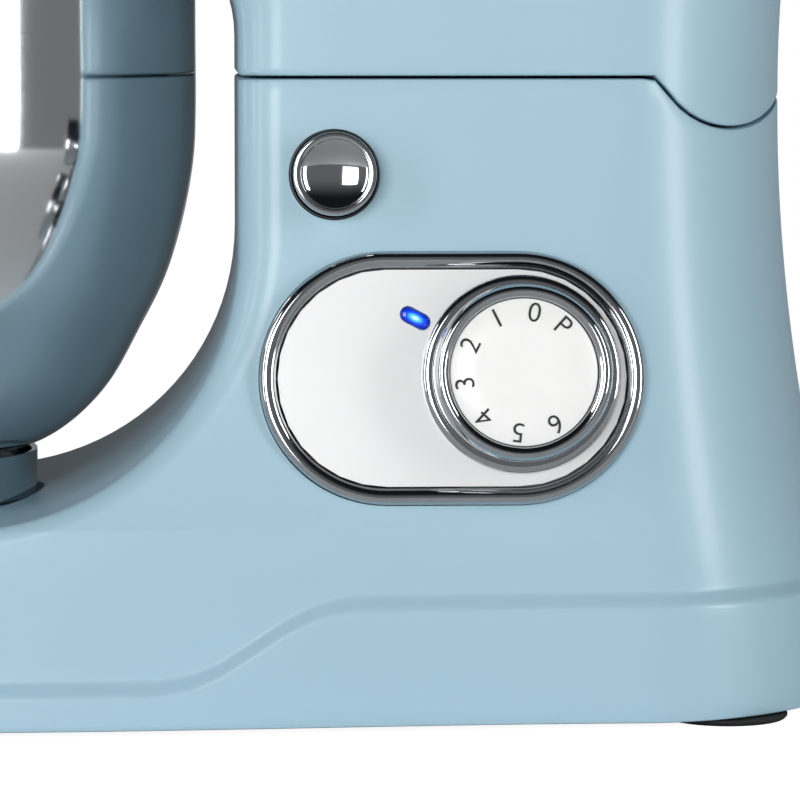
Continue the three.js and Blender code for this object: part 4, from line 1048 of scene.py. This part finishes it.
def make_button(looks):
    """The head release button, its dished end, and the black sleeve it slides in."""
    top, depth = BUTTON_PROUD, looks.dish_depth / MM
    bends = [math.radians(6 * i) for i in range(15)]
    dish = [(9.35 * math.sin(bend), top - depth * math.cos(bend) ** 1.4) for bend in bends]
    rim = [(9.5, top - 0.12), (9.7, top), (10.7, top), (11.05, top - 0.12), (11.2, top - 0.5)]
    side = [(BUTTON_RADIUS, 0), (BUTTON_RADIUS - 0.1, -9), (0, -9)]
    piece = smooth(turned("head_release_button", dish + rim + side, 128, BUTTON), 40)
    finish_piece(piece, "button", "chrome", MATERIALS["chrome"], "release_button")
    bore = BUTTON_RADIUS + 0.25
    section = [(bore, -16), (SLEEVE_RADIUS, -16), (SLEEVE_RADIUS, 0.9, 0.25), (bore, 0.9, 0.2)]
    section = rounded_profile(section, 0.1)
    piece = smooth(turned("button_guide", section, 96, BUTTON), 40)
    finish_piece(piece, "base", "black_plastic", MATERIALS["black_plastic"], "button_sleeve")


# ---------------------------------------------------------------- panel, feet and fittings


def make_panel():
    """The control panel's chrome bezel and the lit lens; the plate is the CAD's own."""
    rows = [(0, -2.3), (0, 2.2), (-0.35, 3.2), (-1.0, 3.8), (-1.8, 4.0), (-2.8, 3.9)]
    rows += [(-3.6, 3.5), (-4.2, 2.9), (-4.6, 2.0), (-4.6, -2.3)]

    def outline(grow):
        return stadium(PANEL_LENGTH + 2 * grow, PANEL_HEIGHT + 2 * grow, 64)

    bezel = ring_solid("panel_frame", rows, outline)
    bezel.data.transform(PANEL)
    smooth(bezel, 50)
    finish_piece(bezel, "base", "chrome", MATERIALS["chrome"], "panel_bezel")
    domed = [(0, 1.2), (0, 1.9), (-0.2, 2.15), (-0.5, 2.3), (-1.0, 2.42), (-1.6, 2.46)]
    lens = outline_solid("panel_lens", domed, lambda g: stadium(8.2 + 2 * g, 3.7 + 2 * g, 24))
    lens.data.transform(Matrix.Rotation(LENS_TILT, 4, "Z"))
    lens.data.transform(PANEL @ Matrix.Translation((LENS_U * MM, LENS_V * MM, 0)))
    smooth(lens, 60)
    finish_piece(lens, "base", "lens", MATERIALS["lens"], "indicator_lens")


def repeat_on_corners():
    """A node tree that puts a copy of its mesh on each corner of a rectangle."""
    tree = bpy.data.node_groups.new("repeat_on_corners", "GeometryNodeTree")
    sockets = {}
    for name, kind in (
        ("Piece", "NodeSocketGeometry"),
        ("Length", "NodeSocketFloat"),
        ("Width", "NodeSocketFloat"),
        ("Centre", "NodeSocketVector"),
        ("Material", "NodeSocketMaterial"),
    ):
        sockets[name] = tree.interface.new_socket(name, in_out="INPUT", socket_type=kind).identifier
    tree.interface.new_socket("Geometry", in_out="OUTPUT", socket_type="NodeSocketGeometry")
    given = add_node(tree, "NodeGroupInput")
    corners = add_node(
        tree,
        "GeometryNodeMeshGrid",
        {"Size X": given.outputs["Length"], "Size Y": given.outputs["Width"]},
        {"Vertices X": 2, "Vertices Y": 2},
    )
    moved = add_node(
        tree,
        "GeometryNodeSetPosition",
        {"Geometry": corners.outputs["Mesh"], "Offset": given.outputs["Centre"]},
    )
    copies = add_node(
        tree,
        "GeometryNodeInstanceOnPoints",
        {"Points": moved.outputs["Geometry"], "Instance": given.outputs["Piece"]},
    )
    real = add_node(tree, "GeometryNodeRealizeInstances", {"Geometry": copies.outputs["Instances"]})
    dressed = add_node(
        tree,
        "GeometryNodeSetMaterial",
        {"Geometry": real.outputs["Geometry"], "Material": given.outputs["Material"]},
    )
    add_node(tree, "NodeGroupOutput", {"Geometry": dressed.outputs["Geometry"]})
    return tree, sockets


def run_nodes(obj, tree, sockets, **inputs):
    """Runs a node tree on an object with the given inputs and keeps the result as a plain mesh."""
    step = obj.modifiers.new("nodes", "NODES")
    step.node_group = tree
    for name, value in inputs.items():
        step[sockets[name]] = value
    apply_modifiers(obj)
    return obj


def make_feet():
    """The four rubber feet: one is turned, and a node tree repeats it on the base's corners."""
    tree, sockets = repeat_on_corners()
    front, rear = FOOT_PLACES["front"], FOOT_PLACES["rear"]
    r = FOOT_RADIUS
    section = [(0, 0.6), (r - 5.5, 0.6, 0.3), (r - 4.8, 0, 0.4), (r - 1.0, 0, 0.9), (r, 1.0, 0.6)]
    section += [(r, 1.8, 0.3), (9, 1.8), (9, 4.7), (0, 4.7)]
    foot = turned("rubber_feet", rounded_profile(section, 0.3), 96)
    centre = ((front[0] + rear[0]) / 2 * MM, 0, 0)
    length = (rear[0] - front[0]) * MM
    width = 2 * front[1] * MM
    sizes = {"Length": length, "Width": width, "Centre": centre, "Material": MATERIALS["rubber"]}
    run_nodes(foot, tree, sockets, **sizes)
    smooth(foot, 35)
    names = [f"foot_{end}_{side}" for end in ("front", "rear") for side in ("left", "right")]
    finish_piece(foot, "base", "rubber", MATERIALS["rubber"], *names)


def polish(name, node, body, slot, material, width=0.35, angle=30):
    """A merged copy of a CAD node with its flats joined and its edges broken by a small bevel."""
    mesh = NODES[node].data.copy()
    obj = bpy.data.objects.new(name, mesh)
    mesh.name = name
    bpy.context.scene.collection.objects.link(obj)
    bm = bmesh.new()
    bm.from_mesh(mesh)
    bmesh.ops.remove_doubles(bm, verts=bm.verts, dist=1e-5)
    bmesh.ops.dissolve_limit(bm, angle_limit=math.radians(0.5), verts=bm.verts, edges=bm.edges)
    bmesh.ops.recalc_face_normals(bm, faces=bm.faces)
    bm.to_mesh(mesh)
    bm.free()
    if width:
        step = obj.modifiers.new("edges", "BEVEL")
        step.width = width * MM
        step.segments = 2
        step.limit_method = "ANGLE"
        step.angle_limit = math.radians(angle)
        step.harden_normals = False
        apply_modifiers(obj)
    smooth(obj, angle)
    return finish_piece(obj, body, slot, material, node)


def make_hub():
    """The attachment hub at the nose: a chrome collar with its turned cap."""
    turn = Matrix.Translation((0, 0, HUB_Z * MM)) @ Matrix.Rotation(-math.pi / 2, 4, "Y")
    section = [(16.4, 152), (20, 152, 0.2), (20, 184.5, 1.4), (18.6, 186.5, 0.9), (16.4, 186.3, 0.5)]
    collar = smooth(turned("hub_rim", rounded_profile(section, 0.4), 128, turn), 40)
    finish_piece(collar, "head", "chrome", MATERIALS["chrome"], "hub_collar")
    section = [(0, 170), (16.1, 170, 0.2), (16.1, 187.2, 0.3), (15.9, 189.6, 1.6)]
    section += [(13.6, 191, 0.8), (12.4, 190.2, 0.6), (5, 191.6, 4), (0, 192.2)]
    cap = smooth(turned("hub_cover", rounded_profile(section, 0.4, 6), 128, turn), 40)
    finish_piece(cap, "head", "chrome", MATERIALS["chrome"], "hub_cap")


def make_drive():
    """The planetary hub, its shaft and the flat beater, with broken edges."""
    polish("beater_casting", "flat_beater", "beater", "cast_alloy", MATERIALS["cast_alloy"], 0.6)
    polish("hub_casting", "planet_hub", "carrier", "cast_alloy", MATERIALS["chrome"], 0.5)
    polish("beater_shaft", "output_shaft", "beater", "satin_metal", MATERIALS["satin_metal"], 0.3)
    polish("hinge_casting", "hinge_bracket", "base", "cast_alloy", MATERIALS["cast_alloy"], 0.5)
    polish("bowl_plate", "bowl_seat", "base", "satin_metal", MATERIALS["satin_metal"], 0.4)
    polish("cable_gland", "inlet_gland", "base", "black_plastic", MATERIALS["black_plastic"], 0.4)


# ---------------------------------------------------------------- stage


def aim(obj, place, target):
    obj.location = Vector(place) * MM
    obj.rotation_mode = "QUATERNION"
    obj.rotation_quaternion = ((Vector(target) - Vector(place))).to_track_quat("-Z", "Y")


def softbox(name, place, target, size, power, colour="FFFFFF"):
    """A rectangular soft light; sizes and places in millimetres."""
    data = bpy.data.lights.new(name, "AREA")
    data.shape = "RECTANGLE"
    data.size, data.size_y = size[0] * MM, size[1] * MM
    data.energy = power
    data.color = linear(colour)[:3]
    obj = bpy.data.objects.new(name, data)
    bpy.context.scene.collection.objects.link(obj)
    aim(obj, place, target)
    return obj


# The camera stands in front of the column's front edge and looks a little down at the panel.
CAMERA_PLACE, CAMERA_TARGET = (15.9, -1267, 191), (69.9, -83, 90)
LIGHTS = (
    # name, place, target, size in millimetres, share of the key's power, colour
    ("front_box", (-700, -2100, 450), (40, -60, 120), (900, 900), 1.0, "FFFFFF"),
    ("column_edge_strip", (-1500, -900, 500), (40, -60, 120), (250, 1500), 0.35, "FFFFFF"),
    ("rear_edge_strip", (1900, -1200, 500), (150, -60, 120), (500, 1600), 1.0, "FFFFFF"),
)


def make_stage(settings):
    """A pale floor, a pale surround, soft lights and the camera."""
    scene = bpy.context.scene
    scene.view_settings.view_transform = "Standard"
    reach, corners = 1300, 72
    turns = [2 * math.pi * i / corners for i in range(corners)]
    edge = [(reach * math.cos(turn), reach * math.sin(turn), -0.05) for turn in turns]
    floor = add_mesh("floor", edge, [tuple(range(corners))])
    material = bpy.data.materials.new("matt_white_paper")
    material.use_nodes = True
    shader = material.node_tree.nodes["Principled BSDF"]
    shader.inputs["Base Color"].default_value = list(settings.floor_colour) + [1.0]
    shader.inputs["Roughness"].default_value = 0.9
    shader.inputs["Emission Color"].default_value = list(settings.floor_colour) + [1.0]
    rays = add_node(material.node_tree, "ShaderNodeLightPath")
    material.node_tree.links.new(rays.outputs["Is Camera Ray"], shader.inputs["Emission Strength"])
    floor.data.materials.append(material)
    world = bpy.data.worlds.new("studio")
    world.use_nodes = True
    tree = world.node_tree
    back = tree.nodes["Background"]
    # The backdrop shows white, while the room that the glossy parts mirror is a soft grey.
    rays = add_node(tree, "ShaderNodeLightPath")
    place = add_node(tree, "ShaderNodeTexCoord")
    parts = add_node(tree, "ShaderNodeSeparateXYZ", {"Vector": place.outputs["Generated"]})
    values = {"From Min": 0.12, "From Max": 0.7}
    rise = add_node(tree, "ShaderNodeMapRange", {"Value": parts.outputs["Z"]}, values)
    rise.interpolation_type = "SMOOTHSTEP"
    values = {6: linear("7E8082"), 7: linear("1E2022")}
    room = add_node(tree, "ShaderNodeMix", {0: rise.outputs["Result"]}, values, data_type="RGBA")
    links = {0: rays.outputs["Is Camera Ray"], 6: room.outputs[2]}
    shade = add_node(tree, "ShaderNodeMix", links, {7: linear("FFFFFF")}, data_type="RGBA")
    tree.links.new(shade.outputs[2], back.inputs["Color"])
    back.inputs["Strength"].default_value = settings.surround
    scene.world = world
    for name, place, target, size, share, colour in LIGHTS:
        softbox(name, place, target, size, settings.key_power * share, colour)
    camera = bpy.data.cameras.new("camera")
    camera.lens, camera.sensor_width = 198, 36
    obj = bpy.data.objects.new("camera", camera)
    scene.collection.objects.link(obj)
    aim(obj, CAMERA_PLACE, CAMERA_TARGET)
    scene.camera = obj


# ---------------------------------------------------------------- settings, operators and panel


class MixerLooks(bpy.types.PropertyGroup):
    """Colours and small sizes of the mixer's finish."""

    paint: bpy.props.FloatVectorProperty(
        name="Paint",
        description="Colour of the enamel on the base and the head",
        subtype="COLOR",
        default=linear("9FBFCE")[:3],
        min=0,
        max=1,
    )
    bowl_wall: bpy.props.FloatProperty(
        name="Bowl wall",
        description="Thickness of the bowl's sheet",
        unit="LENGTH",
        default=0.0012,
        min=0.0005,
    )
    rim_bead: bpy.props.FloatProperty(
        name="Rim bead",
        description="Radius of the bowl's rolled rim",
        unit="LENGTH",
        default=0.0015,
        min=0.001,
    )
    dish_depth: bpy.props.FloatProperty(
        name="Button dish",
        description="Depth of the hollow in the button's end",
        unit="LENGTH",
        default=0.0026,
    )
    number_size: bpy.props.FloatProperty(
        name="Number size", description="Type size of the dial's numbers", unit="LENGTH", default=0.0076
    )


class MixerStage(bpy.types.PropertyGroup):
    """Light and floor of the studio."""

    floor_colour: bpy.props.FloatVectorProperty(
        name="Floor",
        description="Colour of the floor",
        subtype="COLOR",
        default=linear("F4F4F4")[:3],
        min=0,
        max=1,
    )
    surround: bpy.props.FloatProperty(
        name="Surround", description="Strength of the light from all round", default=1.0, min=0
    )
    key_power: bpy.props.FloatProperty(
        name="Key light",
        description="Power of the large soft light in watts",
        subtype="POWER",
        default=26.0,
        min=0,
    )


class MIXER_OT_materials(bpy.types.Operator):
    """Makes the materials and gives each carried-over part its own"""

    bl_idname = "mixer.materials"
    bl_label = "Make materials"

    def execute(self, context):
        make_materials(context.scene.mixer_looks)
        return {"FINISHED"}


class MIXER_OT_base(bpy.types.Operator):
    """Makes the painted base and column"""

    bl_idname = "mixer.base"
    bl_label = "Make base"

    def execute(self, context):
        make_base()
        return {"FINISHED"}


class MIXER_OT_head(bpy.types.Operator):
    """Makes the head's two painted shells and the band between them"""

    bl_idname = "mixer.head"
    bl_label = "Make head"

    def execute(self, context):
        make_head()
        make_trim_band()
        return {"FINISHED"}


class MIXER_OT_bowl(bpy.types.Operator):
    """Makes the steel bowl and its foot ring"""

    bl_idname = "mixer.bowl"
    bl_label = "Make bowl"

    def execute(self, context):
        make_bowl(context.scene.mixer_looks)
        return {"FINISHED"}


class MIXER_OT_panel(bpy.types.Operator):
    """Makes the control panel's bezel and lens"""

    bl_idname = "mixer.control_panel"
    bl_label = "Make control panel"

    def execute(self, context):
        make_panel()
        return {"FINISHED"}


class MIXER_OT_dial(bpy.types.Operator):
    """Makes the speed dial and its numbers"""

    bl_idname = "mixer.dial"
    bl_label = "Make dial"

    def execute(self, context):
        make_dial()
        make_numbers(context.scene.mixer_looks)
        return {"FINISHED"}


class MIXER_OT_button(bpy.types.Operator):
    """Makes the head release button and its sleeve"""

    bl_idname = "mixer.button"
    bl_label = "Make button"

    def execute(self, context):
        make_button(context.scene.mixer_looks)
        return {"FINISHED"}


class MIXER_OT_feet(bpy.types.Operator):
    """Makes the four rubber feet"""

    bl_idname = "mixer.feet"
    bl_label = "Make feet"

    def execute(self, context):
        make_feet()
        return {"FINISHED"}


class MIXER_OT_fittings(bpy.types.Operator):
    """Makes the attachment hub, the planetary drive's visible parts and the hinge casting"""

    bl_idname = "mixer.fittings"
    bl_label = "Make fittings"

    def execute(self, context):
        make_hub()
        make_drive()
        return {"FINISHED"}


class MIXER_OT_stage(bpy.types.Operator):
    """Makes the floor, the lights and the camera"""

    bl_idname = "mixer.stage"
    bl_label = "Make stage"

    def execute(self, context):
        make_stage(context.scene.mixer_stage)
        return {"FINISHED"}


OPERATORS = (
    MIXER_OT_stage,
    MIXER_OT_materials,
    MIXER_OT_base,
    MIXER_OT_head,
    MIXER_OT_bowl,
    MIXER_OT_panel,
    MIXER_OT_dial,
    MIXER_OT_button,
    MIXER_OT_feet,
    MIXER_OT_fittings,
)


class MIXER_PT_panel(bpy.types.Panel):
    """Lists the settings and the steps that dress the mixer"""

    bl_idname = "MIXER_PT_panel"
    bl_label = "Stand mixer"
    bl_space_type = "VIEW_3D"
    bl_region_type = "UI"
    bl_category = "Mixer"

    def draw(self, context):
        for settings in (context.scene.mixer_looks, context.scene.mixer_stage):
            for name in settings.__annotations__:
                self.layout.prop(settings, name)
        for operator in OPERATORS:
            self.layout.operator(operator.bl_idname)


CLASSES = (MixerLooks, MixerStage, *OPERATORS, MIXER_PT_panel)


def register():
    for item in CLASSES:
        bpy.utils.register_class(item)
    bpy.types.Scene.mixer_looks = bpy.props.PointerProperty(type=MixerLooks)
    bpy.types.Scene.mixer_stage = bpy.props.PointerProperty(type=MixerStage)


def unregister():
    del bpy.types.Scene.mixer_looks
    del bpy.types.Scene.mixer_stage
    for item in reversed(CLASSES):
        bpy.utils.unregister_class(item)


def main():
    """Dresses the mixer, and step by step."""
    register()
    for operator in OPERATORS:
        group, name = operator.bl_idname.split(".")
        getattr(getattr(bpy.ops, group), name)()


if __name__ == "__main__":
    main()
